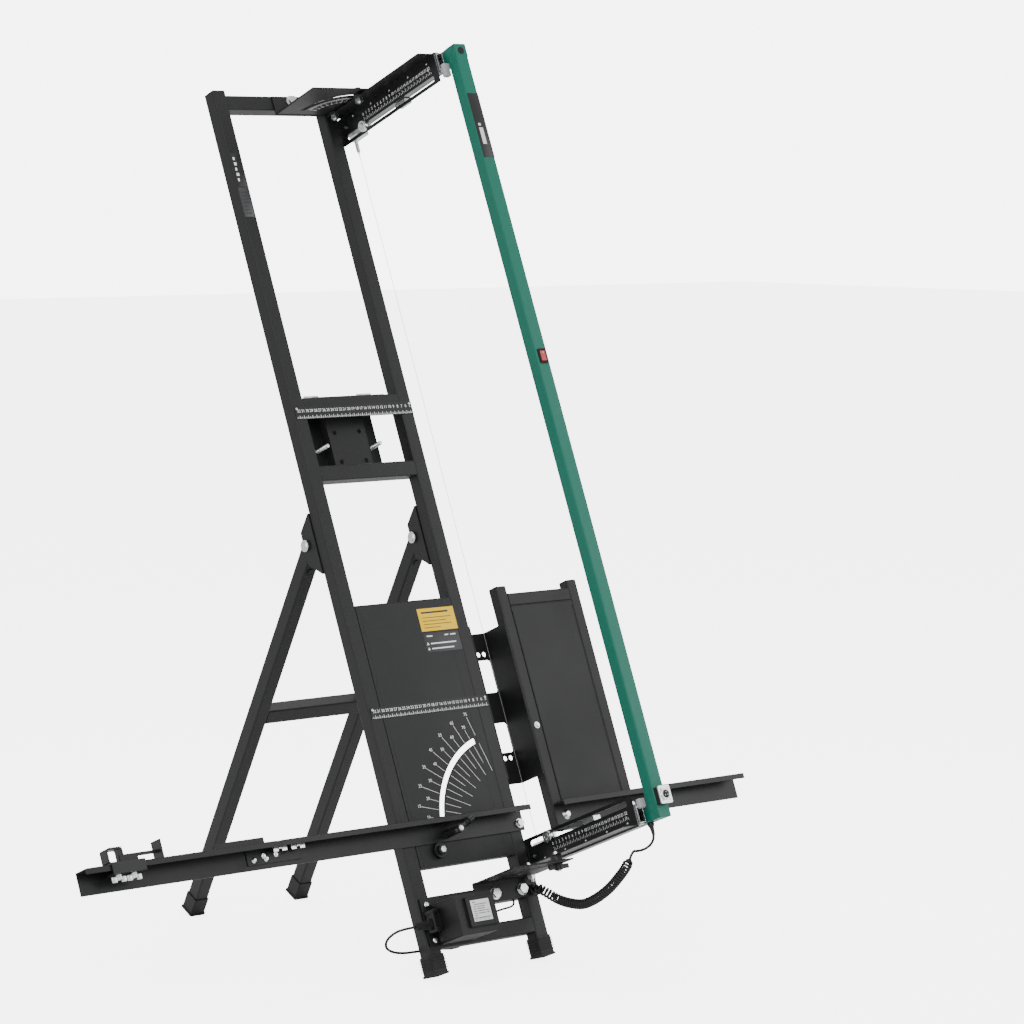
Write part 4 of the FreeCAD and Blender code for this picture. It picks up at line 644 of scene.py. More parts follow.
X, U, N = (1.0, 0.0, 0.0), (0.0, 1.0, 0.0), (0.0, 0.0, 1.0)
LEFT, DOWN = (-1.0, 0.0, 0.0), (0.0, -1.0, 0.0)


# ---------------------------------------------------------------- the stand


@dataclass(frozen=True)
class StandSizes:
    """Sizes of the leaning frame."""

    half: float = 145.0
    tube: float = 30.0
    weld: float = 1.3
    bars: tuple[float, ...] = (1722.0, 1097.0, 959.5, 114.5, 46.7)
    plate_x: tuple[float, float] = (-142.5, -119.5)
    plate_u: tuple[float, float, float] = (1498.0, 1560.0, 1630.0)


class Stand(SubAssembly):
    """The two uprights, their cross bars, the feet and the folding rear legs."""

    label = "stand"
    nodes = {"left_upright": "frame", "right_upright": "frame", "top_crossbar": "frame",
             "middle_crossbars": "frame", "lower_crossbars": "frame", "upright_caps": "cap",
             "frame_fasteners": "zinc", "leg_hinge_brackets": "frame", "leg_hinge_bolts": "zinc",
             "left_rear_leg": "frame", "right_rear_leg": "frame", "rear_crossbar": "frame",
             "rear_leg_caps": "cap"}
    sizes = StandSizes()

    def pieces(self) -> None:
        """Weld beads, foot ribs, bolt caps and the two small plates."""
        self.welds()
        self.feet()
        self.bolts()
        self.plates()

    def bead(self, shape: Shape, points: Sequence[Point]) -> None:
        """Add a rippled weld bead along points."""
        line = [Vector(p) for p in points]
        ring = []
        for a, b in zip(line, line[1:]):
            steps = max(2, int((b - a).length / 2.2))
            ring += [a.lerp(b, i / steps) for i in range(steps)]
        ring.append(line[-1])
        shape.tube(ring, [self.sizes.weld * (0.8 + 0.3 * (i % 2)) for i in range(len(ring))], 6)

    def welds(self) -> None:
        """Beads round each cross bar's ends and the rear legs' bar."""
        s = self.sizes
        inner = s.half - s.tube
        shape = Shape()
        for low in s.bars:
            for x in (-inner, inner):
                loop = [(x, low + 1.5, -s.tube + 1), (x, low + 1.5, -1.2), (x, low + s.tube - 1.5, -1.2),
                        (x, low + s.tube - 1.5, -s.tube + 1), (x, low + 1.5, -s.tube + 1)]
                self.bead(shape, loop)
        self.add(shape, "frame_welds", "frame")

    def feet(self) -> None:
        """Ribs and a rolled lip on the two front feet."""
        s = self.sizes
        shape = Shape()
        for x in (-s.half + s.tube / 2, s.half - s.tube / 2):
            for k in range(5):
                u = 11 + 5 * k
                half = s.tube / 2 + 3.4
                for side in (-1, 1):
                    shape.block((x + side * half - 0.7, u, -s.tube - 1.5),
                                (x + side * half + 0.2, u + 1.2, 1.5), 0.2)
                shape.block((x - half + 1, u, 2.2), (x + half - 1, u + 1.2, 3.7), 0.2)
        self.add(shape, "front_foot_ribs", "cap")

    def bolts(self) -> None:
        """Caps and washers on the hinge, bracket and panel bolts."""
        shape = Shape()
        for x, u in ((39.6, 130), (106.4, 130), (37.7, 1740), (105, 1740)):
            shape.lathe((x, u, 3.02), N, [(11.5, 0), (12, 0.3), (12, 1.3), (11.4, 1.6), (7.6, 1.6)])
        for x in (-133.5, 127.0):
            shape.lathe((x - 17.5, 850.7, -58.5), LEFT, [(11, -0.5), (11.5, 0.2), (11.2, 0.9), (8, 1.0)])
        self.add(shape, "frame_washers", "zinc")

    def plates(self) -> None:
        """Two blank rating plates on the left upright's front."""
        s = self.sizes
        (left, right), (low, split, high) = s.plate_x, s.plate_u
        grey, black, marks = Shape(), Shape(), Shape()
        grey.block((left, low, 0.0), (right, split - 1.0, 0.35), 0.2)
        black.block((left, split, 0.0), (right, high, 0.35), 0.2)
        for k in range(7):
            u = low + 7 + 7.2 * k
            marks.quad([(left + 3, u, 0.42), (right - 4 - 3 * (k % 3), u, 0.42),
                        (right - 4 - 3 * (k % 3), u + 1.6, 0.42), (left + 3, u + 1.6, 0.42)])
        light = Shape()
        for k in range(5):
            u = split + 12 + 11 * k
            light.quad([(left + 5, u, 0.42), (left + 9 + 2 * (k % 2), u, 0.42),
                        (left + 9 + 2 * (k % 2), u + 6, 0.42), (left + 5, u + 6, 0.42)])
        self.add(grey, "rating_plate", "plate")
        self.add(black, "setting_plate", "black_label")
        self.add(marks, "rating_plate_lines", "ink")
        self.add(light, "setting_plate_marks", "white")


# ---------------------------------------------------------------- panel, rulers and arc


@dataclass(frozen=True)
class ScaleSizes:
    """Sizes of the printed scales on the board."""

    wire_x: float = 188.0
    left: float = -141.0
    right: float = 143.0
    arc_x: float = 140.0
    arc_u: float = 255.0
    long_line: tuple[float, float] = (112.0, 225.0)
    short_line: tuple[float, float] = (134.0, 205.0)
    slot: tuple[float, float] = (172.0, 184.0)
    first: int = 105
    last: int = 180
    step: int = 5


class Board(SubAssembly):
    """The main panel with its angle scale, the two rulers and the stickers."""

    label = "board"
    nodes = {"main_panel": "panel", "rulers": "ruler"}
    sizes = ScaleSizes()

    def pieces(self) -> None:
        """Rulers, arc, stickers and panel seams."""
        for name, low, high in (("upper", 1084.0, 1109.0), ("lower", 489.0, 511.0)):
            self.ruler(name, low, high)
        self.arc()
        self.stickers()
        self.seams()

    def ruler(self, name: str, low: float, high: float) -> None:
        """Print one ruler: millimetre ticks and centimetres from the wire.

        Args:
            name: Which ruler.
            low: Its lower edge.
            high: Its upper edge.
        """
        s, shape = self.sizes, Shape()
        first, last = math.ceil(s.wire_x - s.right), math.floor(s.wire_x - s.left)
        for mm in range(first + 1, last):
            x = s.wire_x - mm
            tall = 6.0 if mm % 10 == 0 else 4.2 if mm % 5 == 0 else 2.6
            half = 0.5 if mm % 10 == 0 else 0.3 if mm % 5 == 0 else 0.11
            shape.quad([(x - half, low + 1, 1.08), (x + half, low + 1, 1.08),
                        (x + half, low + 1 + tall, 1.08), (x - half, low + 1 + tall, 1.08)])
            if mm % 10 == 0:
                shape.text(str(mm // 10), (x, (low + high) / 2 + 3.6, 1.08), X, U, 5.9)
        self.add(shape, f"{name}_ruler_scale", "white")
        ends = Shape()
        for x in (s.left + 5, s.right - 5):
            ends.lathe((x, high - 4, 1.0), N, [(2.6, 0), (2.6, 0.5), (1.6, 1.1), (0, 1.25)], 20)
        self.add(ends, f"{name}_ruler_rivets", "zinc")

    def arc(self) -> None:
        """Print the angle lines on both sides of the arc slot, and their degrees."""
        s, shape = self.sizes, Shape()
        for i, degrees in enumerate(range(s.first, s.last + 1, s.step)):
            a = math.radians(degrees)
            out, side = Vector((math.cos(a), math.sin(a), 0)), Vector((-math.sin(a), math.cos(a), 0)) * 0.36
            low, high = s.long_line if i % 2 == 0 else s.short_line
            centre = Vector((s.arc_x, s.arc_u, 0.1))
            for r0, r1 in ((low, s.slot[0] - 2), (s.slot[1] + 2, high)):
                shape.quad([centre + out * r0 - side, centre + out * r1 - side, centre + out * r1 + side,
                            centre + out * r0 + side])
            at = centre + out * (high + 5.5)
            if abs(at.x) < 113:
                shape.text(str(s.last - degrees), at, X, U, 6.2)
        self.add(shape, "arc_scale", "white")
        lip = Shape()
        for r in (171.9, 184.1):
            lip.tube([(s.arc_x + r * math.cos(math.radians(a)), s.arc_u + r * math.sin(math.radians(a)), 0.0)
                      for a in range(108, 182)], 0.5, 6)
        self.add(lip, "arc_slot_lip", "panel")

    def stickers(self) -> None:
        """A yellow sticker over a grey one, with plain bars and shapes only."""
        yellow, grey, dark, light = Shape(), Shape(), Shape(), Shape()
        yellow.block((28, 647, 0), (117, 692, 0.3), 0.15)
        grey.block((28, 605.5, 0), (115.5, 643.5, 0.3), 0.15)
        for k, (length, tall) in enumerate(((66, 3.4), (70, 1.3), (58, 1.3), (68, 1.3), (40, 1.3))):
            u = 682 - 6.6 * k - (2.5 if k else 0)
            dark.quad([(36, u, 0.36), (36 + length, u, 0.36), (36 + length, u + tall, 0.36),
                       (36, u + tall, 0.36)])
        for k, (x, length) in enumerate(((36, 14), (80, 9), (94, 13), (42, 62), (42, 54))):
            u = (636, 636, 636, 621, 611)[k]
            light.quad([(x, u, 0.36), (x + length, u, 0.36), (x + length, u + 2.4, 0.36), (x, u + 2.4, 0.36)])
        for u in (621, 611):
            light.quad([(32, u - 1, 0.36), (38, u - 1, 0.36), (35, u + 4.5, 0.36)])
        self.add(yellow, "notice_sticker", "yellow_label")
        self.add(grey, "data_sticker", "grey_label")
        self.add(dark, "notice_bars", "ink")
        self.add(light, "data_bars", "white")

    def seams(self) -> None:
        """The panel's pressed lines and its folded top edge."""
        shape = Shape()
        for x in (-107.0, 93.0):
            shape.tube([(x, 199 + 10 * k, -0.1) for k in range(52)], 0.35, 6)
        shape.tube([(-114 + 12 * k, 709.2, 0.0) for k in range(20)], 0.6, 6)
        self.add(shape, "panel_folds", "panel")


# ---------------------------------------------------------------- side frame and rails


class SideFrame(SubAssembly):
    """The small frame beyond the wire, its panel and its bracket."""

    label = "side frame"
    nodes = {"side_frame": "frame", "side_panel": "panel", "link_bracket": "frame"}

    def pieces(self) -> None:
        """Welds, the panel's fold lines, and its screw heads."""
        welds = Shape()
        for x in (261, 418):
            for low, high in ((681.5, 706.5), (232, 257)):
                for u in (low, high):
                    welds.tube([(x, u, -24 + 2.2 * k) for k in range(11)],
                               [1.2 * (0.8 + 0.3 * (k % 2)) for k in range(11)], 6)
        self.add(welds, "side_frame_welds", "frame")
        folds = Shape()
        for x in (262.2, 416.8):
            folds.tube([(x, 262 + 10 * k, 0.1) for k in range(42)], 0.6, 6)
        for u in (258.5, 680):
            folds.tube([(262 + 11 * k, u, 0.1) for k in range(15)], 0.6, 6)
        self.add(folds, "side_panel_folds", "panel")
        heads = Shape()
        heads.lathe((248.5, 440, 0.0), N, [(6.4, 0), (6.7, 0.3), (6.7, 0.9), (6.2, 1.1), (4.5, 1.1)])
        self.add(heads, "side_screw_washer", "zinc")
        plugs = Shape()
        for x in (248.5, 430.5):
            plugs.block((x - 11.5, 720.6, -23.5), (x + 11.5, 722.4, -1.5), 0.8)
            for k in range(3):
                plugs.block((x - 9, 722.2, -20 + 6 * k), (x + 9, 722.9, -18.6 + 6 * k), 0.3)
        self.add(plugs, "side_tube_plugs", "cap")


@dataclass(frozen=True)
class RailSizes:
    """Sizes of the rails and their stops."""

    high: float = 283.0
    rest: tuple[float, float] = (-65.0, 226.2)
    lever: tuple[float, float] = (-38.0, 255.0)


class Rails(SubAssembly):
    """The fixed right rail, the tilting left rail, its lever, rest and length stop."""

    label = "rails"
    nodes = {"right_rail": "rail", "rail_pivot_bolt": "zinc", "rail_rest": "rail", "inner_rail": "rail",
             "outer_rail": "rail", "rail_splice": "rail", "splice_fasteners": "zinc",
             "rail_clamp_lever": "lever", "length_stop": "stop"}
    sizes = RailSizes()

    def pieces(self) -> None:
        """Edge beads, washers, the lever's grip and the stop's worn edges."""
        s = self.sizes
        lips = Shape()
        lips.tube([(236.6, 283.0, 2 + 3 * k) for k in range(11)], 0.6, 6)
        lips.tube([(238 + 14 * k, s.high - 0.1, 34.6) for k in range(35)], 0.7, 6)
        self.add(lips, "right_rail_lip", "rail")
        inner = Shape()
        inner.tube([(-438 + 14 * k, s.high - 0.1, 36.1) for k in range(42)], 0.7, 6)
        inner.tube([(-856 + 14 * k, s.high - 0.1, 36.1) for k in range(30)], 0.7, 6)
        self.add(inner, "left_rail_lip", "rail", "left_rail")
        bolts = Shape()
        for x, u in ((-458, 259), (-485, 259)):
            bolts.lathe((x, u, 38.2), N, [(4.6, -2), (4.8, -0.6), (3.9, 0.4), (2.6, 0.9), (0, 1.0)], 24)
        self.add(bolts, "splice_screw_caps", "zinc", "left_rail")
        rest = Shape()
        x, u = s.rest
        rest.lathe((x, u, 12.0), N, [(7.6, 0), (8, 0.3), (8, 1.4), (7.2, 1.7), (5, 1.7)])
        rest.lathe((x, u, 13.0), N, [(6.6, 0), (6.6, 4.2), (5.8, 5.0), (4.2, 5.0), (3.8, 3.4), (0, 3.2)], 6)
        self.add(rest, "rest_disc_bolt", "zinc")
        grip = Shape()
        tilt = math.radians(25)
        along = Vector((math.cos(tilt), math.sin(tilt), 0))
        across = Vector((-math.sin(tilt), math.cos(tilt), 0))
        root = Vector((s.lever[0], s.lever[1], 44))
        for k in range(6):
            centre = root + along * (18 + 4.2 * k)
            grip.tube([centre + across * (6.1 * math.cos(a)) + Vector((0, 0, 5.4 * math.sin(a)))
                       for a in (math.tau * i / 20 for i in range(20))], 0.65, 6, True)
        self.add(grip, "lever_grip_ribs", "lever", "clamp_lever")
        cap = Shape()
        cap.lathe((s.lever[0], s.lever[1], 49.0), N,
                  [(5.4, -1), (5.4, 0.3), (4.6, 1.2), (2.2, 1.6), (0, 1.7)])
        self.add(cap, "lever_cap_screw", "zinc", "clamp_lever")
        edge = Shape()
        for u in (285.2, 312.6):
            edge.tube([(-805 + 3 * k, u, 38.0) for k in range(11)], 0.45, 6)
        self.add(edge, "stop_worn_edges", "stop", "length_stop")
        nuts = Shape()
        for x in (-790, -758):
            nuts.lathe((x, 266, 27.5), DOWN,
                       [(5.9, 0), (6.2, 0.8), (6.2, 2.4), (5.8, 3.4), (5.8, 9.1), (4.6, 9.9),
                                              (3.6, 9.9), (3.4, 9.3), (0, 9.2)], 24)
            for side in (-1, 1):
                near, far = x + side * 3.8, x + side * 15.5
                nuts.block((min(near, far), 252.4, 25.4), (max(near, far), 263.5, 29.6), 1.8, 3)
        self.add(nuts, "stop_wing_nuts", "zinc", "length_stop")


# ---------------------------------------------------------------- brackets and arms


@dataclass(frozen=True)
class SwingSizes:
    """Sizes of the swing brackets and the arms."""

    axis: tuple[float, float] = (124.0, 17.5)
    clamp: float = 84.0
    span: int = 80
    arm_x: float = 152.0
    scale_from: float = 70.0


class SwingBrackets(SubAssembly):
    """The two brackets on the stand that the arms swing on."""

    label = "swing brackets"
    nodes = {"lower_swing_bracket": "frame", "upper_swing_bracket": "frame"}
    sizes = SwingSizes()

    def pieces(self) -> None:
        """Angle ticks under and over each plate, and the brackets' bend lines."""
        s = self.sizes
        for name, height, up, lift in (("upper", 1711.0, DOWN, -0.08), ("upper_top", 1714.0, U, 0.08),
                                       ("lower", 155.0, U, 0.08)):
            shape = Shape()
            level = height + lift
            for degrees in range(0, s.span + 1, 2):
                a = math.radians(90 + degrees)
                out = Vector((math.cos(a), 0, math.sin(a)))
                side = Vector((-math.sin(a), 0, math.cos(a))) * 0.35
                centre = Vector((s.axis[0], level, s.axis[1]))
                low, high = (58, 74) if degrees % 10 == 0 else (66, 74)
                shape.quad([centre + out * low - side, centre + out * high - side, centre + out * high + side,
                            centre + out * low + side])
                if degrees % 10 == 0:
                    shape.text(str(degrees), centre + out * 53, (1, 0, 0), (0, 0, 1 if up == DOWN else -1),
                               4.6)
            self.add(shape, f"{name}_swing_scale", "white")
        bends = Shape()
        for u, edge in ((153.5, 155.0), (1712.5, 1711.0)):
            bends.tube([(-5 + 5 * k, edge, 2.6) for k in range(30)], 1.6, 8)
        self.add(bends, "bracket_bends", "frame")


class SwingArms(SubAssembly):
    """The two arms, their scales, knobs, depth stops and slides."""

    label = "swing arms"
    # The slides' outer members take the dark slide finish, whose dark tone is painted shade for the inside of
    # the arms' slots.
    nodes = {"upper_arm": "rail", "lower_arm": "rail", "swing_spacers": "spacer", "arm_fasteners": "zinc",
             "slide_outer_members": "slide", "slide_middle_members": "zinc", "upper_clamp_knob": "knob",
             "lower_clamp_knob": "knob", "upper_depth_stop": "zinc", "lower_depth_stop": "zinc"}
    sizes = SwingSizes()

    def pieces(self) -> None:
        """Arm scales, knob ribs, rivets and slide details."""
        s = self.sizes
        for name, base, number in (("lower", 183.0, 196.0), ("upper", 1672.0, 1685.0)):
            shape = Shape()
            face = s.arm_x - 0.08
            for mm in range(0, 226, 5):
                n = s.scale_from + mm
                tall = 7.0 if mm % 10 == 0 else 4.0
                shape.quad([(face, base, n - 0.4), (face, base, n + 0.4), (face, base + tall, n + 0.4),
                            (face, base + tall, n - 0.4)])
                if mm % 10 == 0:
                    shape.text(str(mm // 10), (face, number, n), (0, 0, 1), U, 6.0)
            self.add(shape, f"{name}_arm_scale", "white", "swing_arms")
            lip = Shape()
            for u in ((204.9, 219.1) if name == "lower" else (1654.9, 1668.1)):
                lip.tube([(s.arm_x - 0.1, u, 8 + 10 * k) for k in range(30)], 0.45, 6)
            self.add(lip, f"{name}_arm_slot_lip", "rail", "swing_arms")
        heels = Shape()
        for low, high in ((168.0, 223.5), (1650.0, 1705.5)):
            heels.block((s.arm_x + 0.05, low, -24), (s.arm_x + 1.95, high, -7.8), 0.5)
        self.add(heels, "arm_heels", "rail", "swing_arms")
        rivets = Shape()
        for centre in (1688, 185.5):
            for n in (30, 92, 155, 218, 280):
                rivets.lathe((164.9, centre, n), X, [(3.6, 0), (3.2, 0.7), (1.8, 1.2), (0, 1.3)], 18)
                rivets.lathe((151.9, centre - (8 if centre < 900 else -8), n + 8), LEFT,
                             [(2.4, 0), (2.2, 0.5), (1.2, 0.9), (0, 1.0)], 16)
        self.add(rivets, "slide_rivets", "zinc", "swing_arms")
        for name, u, body, turn in (("upper", 1721.0, "upper_knob", U), ("lower", 144.0, "lower_knob", DOWN)):
            ribs = Shape()
            ribs.lathe((s.axis[0], u, s.axis[1] + s.clamp), turn,
                       [(7.6, 0), (8.0, 0.8), (7.6, 1.8), (6.8, 2.2)], 24)
            ribs.lathe((s.axis[0], u, s.axis[1] + s.clamp), turn,
                       [(6.4, 2.2), (6.8, 3.0), (6.4, 4.0), (5.6, 4.4)], 24)
            self.add(ribs, f"{name}_knob_collar", "knob", body)
        for name, u, body in (("upper", 1661.5, "upper_stop"), ("lower", 212.0, "lower_stop")):
            knurl = Shape()
            for k in range(28):
                a = math.tau * k / 28
                knurl.tube([(x, u + 10.5 * math.cos(a), 66 + 10.5 * math.sin(a))
                            for x in (143.6, 145.5, 147.4)],
                           [0.35, 0.75, 0.35], 5)
            knurl.lathe((143.0, u, 66), LEFT, [(7, -0.3), (6.6, 0.5), (4.2, 0.9), (3.8, 0.5), (0, 0.4)])
            self.add(knurl, f"{name}_stop_knurl", "zinc", body)


# ---------------------------------------------------------------- the bow


@dataclass(frozen=True)
class BowSizes:
    """Sizes of the green bow."""

    left: float = 174.0
    right: float = 202.0
    back: float = 326.0
    front: float = 354.0
    low: float = 169.0
    high: float = 1710.0
    label: tuple[float, float] = (1475.0, 1607.0)
    switch: tuple[float, float] = (188.0, 1070.0)
    socket: tuple[float, float] = (188.0, 208.0)


class Bow(SubAssembly):
    """The green bow, its wire, its switch, its socket and its slides' inner members."""

    label = "bow"
    nodes = {"bow_frame": "green", "bow_brackets": "zinc", "bow_fittings": "mould",
             "slide_inner_members": "zinc", "wire_anchors": "zinc", "cutting_wire": "wire",
             "switch_housing": "mould", "socket": "zinc", "rocker": "red"}
    sizes = BowSizes()

    def pieces(self) -> None:
        """Seams, label, buffers, spring, switch marks and socket face."""
        self.seams()
        self.dressings()
        self.spring()
        self.switch()
        self.socket()

    def seams(self) -> None:
        """Ground mitre seams at the bow's two corners."""
        s, shape = self.sizes, Shape()
        thick = s.front - s.back
        for corner, way in ((s.high, -1), (s.low, 1)):
            for x in (s.left, s.right):
                line = [(x, corner + way * (thick - thick * t), s.back + thick * t)
                        for t in (i / 14 for i in range(15))]
                shape.tube(line, [0.5 + 0.15 * (i % 2) for i in range(15)], 6)
            shape.tube([(x, corner + way * thick, s.back)
                        for x in (s.left + 2 * i for i in range(15))], 0.6, 6)
        self.add(shape, "bow_mitre_seams", "green", "bow")

    def dressings(self) -> None:
        """The dark label on the front, plugs, and the pale buffers behind the front tube."""
        s = self.sizes
        label = Shape()
        label.block((s.left + 0.5, s.label[0], s.front - 0.2), (s.right - 0.5, s.label[1], s.front + 0.35),
                    0.25)
        self.add(label, "bow_label", "black_label", "bow")
        marks = Shape()
        for k, (u, tall) in enumerate(((1502, 34), (1540, 5))):
            marks.quad([(s.left + 8, u, s.front + 0.42), (s.left + 17 - 3 * k, u, s.front + 0.42),
                        (s.left + 17 - 3 * k, u + tall, s.front + 0.42),
                        (s.left + 8, u + tall, s.front + 0.42)])
        self.add(marks, "bow_label_mark", "paper", "bow")
        plug = Shape()
        plug.lathe((s.right - 14, s.high - 14, s.front - 0.3), N,
                   [(7.2, 0), (7.4, 0.7), (6.6, 1.3), (5.4, 1.4), (4.9, 0.9), (0, 0.8)])
        self.add(plug, "bow_plug", "cap", "bow")
        pads = Shape()
        for low, high in ((1655, 1682), (197, 215)):
            pads.block((159, low, 316.5), (174, high - 0.5, 327), 2.4, 3)
            for k in range(3):
                pads.block((160.5 + 4.2 * k, low - 0.9, 318), (162.2 + 4.2 * k, low + 0.2, 325.5), 0.4)
        self.add(pads, "bow_buffers", "buffer", "bow")

    def spring(self) -> None:
        """Coils and hooks of the spring that keeps the wire taut."""
        turns, low, high, r = 15, 1641.0, 1663.0, 3.3
        steps = turns * 14
        coil = [(188 + r * math.cos(math.tau * i / 14), low + (high - low) * i / steps,
                 -14 + r * math.sin(math.tau * i / 14)) for i in range(steps + 1)]
        shape = Shape()
        shape.tube(coil, 0.62, 6)
        for u, way in ((low, -1), (high, 1)):
            shape.tube([(188 + 2.6 * math.sin(a), u + way * (2.6 - 2.6 * math.cos(a)), -14)
                        for a in (math.tau * k / 18 for k in range(15))], 0.55, 6)
        self.add(shape, "wire_spring", "zinc", "bow")
        twist = Shape()
        twist.tube([(188 + 0.7 * math.cos(k * 1.1), 1625 + 0.75 * k, -14 + 0.7 * math.sin(k * 1.1))
                    for k in range(22)], 0.35, 6)
        twist.tube([(188 + 0.7 * math.cos(k * 1.1), 216 + 0.75 * k, -14 + 0.7 * math.sin(k * 1.1))
                    for k in range(22)], 0.35, 6)
        self.add(twist, "wire_twists", "wire", "bow")

    def switch(self) -> None:
        """Raised bezel, and the on mark on the rocker."""
        (x, u), front = self.sizes.switch, self.sizes.front
        bezel = Shape()
        ring = []
        for k in range(40):
            a = math.tau * k / 40
            p = 4.0
            ca, sa = math.cos(a), math.sin(a)
            grow = (abs(ca) ** p + abs(sa) ** p) ** (-1 / p)
            ring.append((x + 8.3 * ca * grow, u + 13.2 * sa * grow, front + 2.1))
        bezel.tube(ring, 0.8, 6, True)
        self.add(bezel, "switch_bezel", "mould", "bow")
        marks = Shape()
        marks.quad([(x - 0.5, u + 4, front + 4.3), (x + 0.5, u + 4, front + 4.3),
                    (x + 0.5, u + 8, front + 4.3), (x - 0.5, u + 8, front + 4.3)])
        self.add(marks, "rocker_on_mark", "white", "rocker")

    def socket(self) -> None:
        """The round connector's ring, pins and corner screws."""
        (x, u), face = self.sizes.socket, self.sizes.front + 15
        ring = Shape()
        ring.lathe((x, u, face - 0.2), N,
                   [(9.8, 0), (10, 1.2), (9.2, 2.6), (8.0, 2.9), (7.4, 2.4), (7.2, 0.6)], 40)
        for a in (45, 135, 225, 315):
            dx, du = 11.4 * math.cos(math.radians(a)), 14.2 * math.sin(math.radians(a))
            ring.lathe((x + dx, u + du, face - 0.05), N, [(2.1, 0), (2.0, 0.5), (1.3, 0.9), (0, 1.0)], 18)
        self.add(ring, "socket_ring", "zinc", "bow")
        core = Shape()
        core.lathe((x, u, face - 0.1), N, [(7.0, 0), (7.0, 2.0), (6.4, 2.4), (2.0, 2.5), (0, 2.5)], 32)
        self.add(core, "socket_insert", "mould", "bow")
        pins = Shape()
        for a in (90, 210, 330):
            pins.lathe((x + 3.6 * math.cos(math.radians(a)), u + 3.6 * math.sin(math.radians(a)), face + 2.2),
                       N, [(0.95, 0), (0.95, 1.2), (0.5, 1.6), (0, 1.65)], 12)
        self.add(pins, "socket_pins", "zinc", "bow")


# ---------------------------------------------------------------- power


class Power(SubAssembly):
    """The transformer, its label and its strain relief."""

    label = "power"
    nodes = {"transformer_base": "mould", "transformer_housing": "mould", "transformer_core": "zinc",
             "cord_glands": "mould"}

    def pieces(self) -> None:
        """Label, corner screws, grip bars, relief ribs and gland flats."""
        label, ink = Shape(), Shape()
        label.block((-91, 73, 84.8), (-47, 113, 85.25), 0.2)
        for k in range(8):
            u = 108 - 4.2 * k
            for a, b in (((-87, -80), (-78, -60), (-58, -51))[: 1 + (k * 2) % 3 + (k % 2)]
                         if k != 1 else ((-84, -54),)):
                ink.quad([(a, u, 85.32), (b, u, 85.32), (b, u + 1.3, 85.32), (a, u + 1.3, 85.32)])
        for k in range(4):
            x = -86 + 9.5 * k
            ink.tube([(x + 2.6 * math.cos(t), 77.6 + 2.6 * math.sin(t), 85.3) for t in
                      (math.tau * i / 12 for i in range(12))], 0.3, 4, True)
        self.add(label, "transformer_label", "paper")
        self.add(ink, "transformer_label_marks", "ink")
        frame = Shape()
        ring = [(-100, 65), (-35, 65), (-35, 119), (-100, 119)]
        for a, b in zip(ring, ring[1:] + ring[:1]):
            steps = 12
            frame.tube([(a[0] + (b[0] - a[0]) * t / steps, a[1] + (b[1] - a[1]) * t / steps, 84.6)
                        for t in range(steps + 1)], 0.9, 8)
        self.add(frame, "label_frame_edge", "mould")
        bars = Shape()
        for u in (79, 113):
            bars.block((-139, u - 4, 4), (-121, u + 4, 30), 2.0, 3)
        bars.block((-139, 80, 22), (-132, 112, 29), 2.4, 3)
        self.add(bars, "transformer_cord_guard", "mould")
        screws = Shape()
        for x, u in ((-127.5, 130), (-127.5, 63)):
            screws.lathe((x, u, 6.0), N, [(5.6, -2), (5.6, 0.1), (4.6, 1.2), (2.6, 1.9), (0, 2.0)], 24)
        self.add(screws, "base_screw_heads", "zinc")
        ribs = Shape()
        for k in range(9):
            x = -172.5 + 4.1 * k
            r = 5.7 + 0.29 * k
            ribs.lathe((x, 91, 16), X, [(r - 0.4, 0), (r + 1.1, 0.5), (r + 1.2, 1.6), (r - 0.3, 2.2)], 24)
        self.add(ribs, "strain_relief_ribs", "mould")
        gland = Shape()
        gland.lathe((129, 126, 6.8), N, [(8.6, 0), (8.8, 2.4), (7.2, 4.4), (5.4, 4.8)], 24)
        self.add(gland, "lead_gland_collar", "mould")


# ---------------------------------------------------------------- cords


def nurbs(name: str, points: Sequence[Vector], radius: float = 0.0) -> bpy.types.Object:
    """An order-3 curve through given row-frame control points.

    Args:
        name: The object's name.
        points: Its control points, in metres.
        radius: Its bevel, in metres.

    Returns:
        The curve object.
    """
    curve = bpy.data.curves.new(name, "CURVE")
    curve.dimensions = "3D"
    curve.resolution_u = 8
    spline = curve.splines.new("NURBS")
    spline.points.add(len(points) - 1)
    for point, at in zip(spline.points, points):
        point.co = (*at, 1.0)
    spline.order_u = 3
    spline.use_endpoint_u = True
    curve.bevel_depth = radius
    curve.bevel_resolution = 4
    curve.use_fill_caps = True
    return bpy.data.objects.new(name, curve)


def route_points(points: Sequence[Vector]) -> list[Vector]:
    """The points that a route's curve passes, read from the curve itself."""
    holder = nurbs("route", points)
    holder.data.resolution_u = 16
    mesh = bpy.data.meshes.new_from_object(holder)
    line = [v.co.copy() for v in mesh.vertices]
    bpy.data.objects.remove(holder)
    bpy.data.meshes.remove(mesh)
    return line


@dataclass(frozen=True)
class Coil:
    """The put-away length of the mains cord."""

    centre: tuple[float, float] = (63.7, 227.7)
    start: float = 140.8
    turns: float = 5.5
    inner: float = 25.5
    outer: float = 30.5
    entry: float = 28.0
    levels: tuple[float, float, float] = (2.55, 7.55, 12.55)
    per_turn: int = 16
    heading: tuple[float, float] = (0.633, 0.774)


@dataclass(frozen=True)
class LeadSizes:
    """Sizes of the cords."""

    mains: float = 5.0
    short: float = 4.0
    curl: float = 20.0
    curl_wire: float = 4.5
    curl_turns: int = 46
    curl_steps: int = 14
    curl_plain: float = 16.0
    bow: float = 5.0


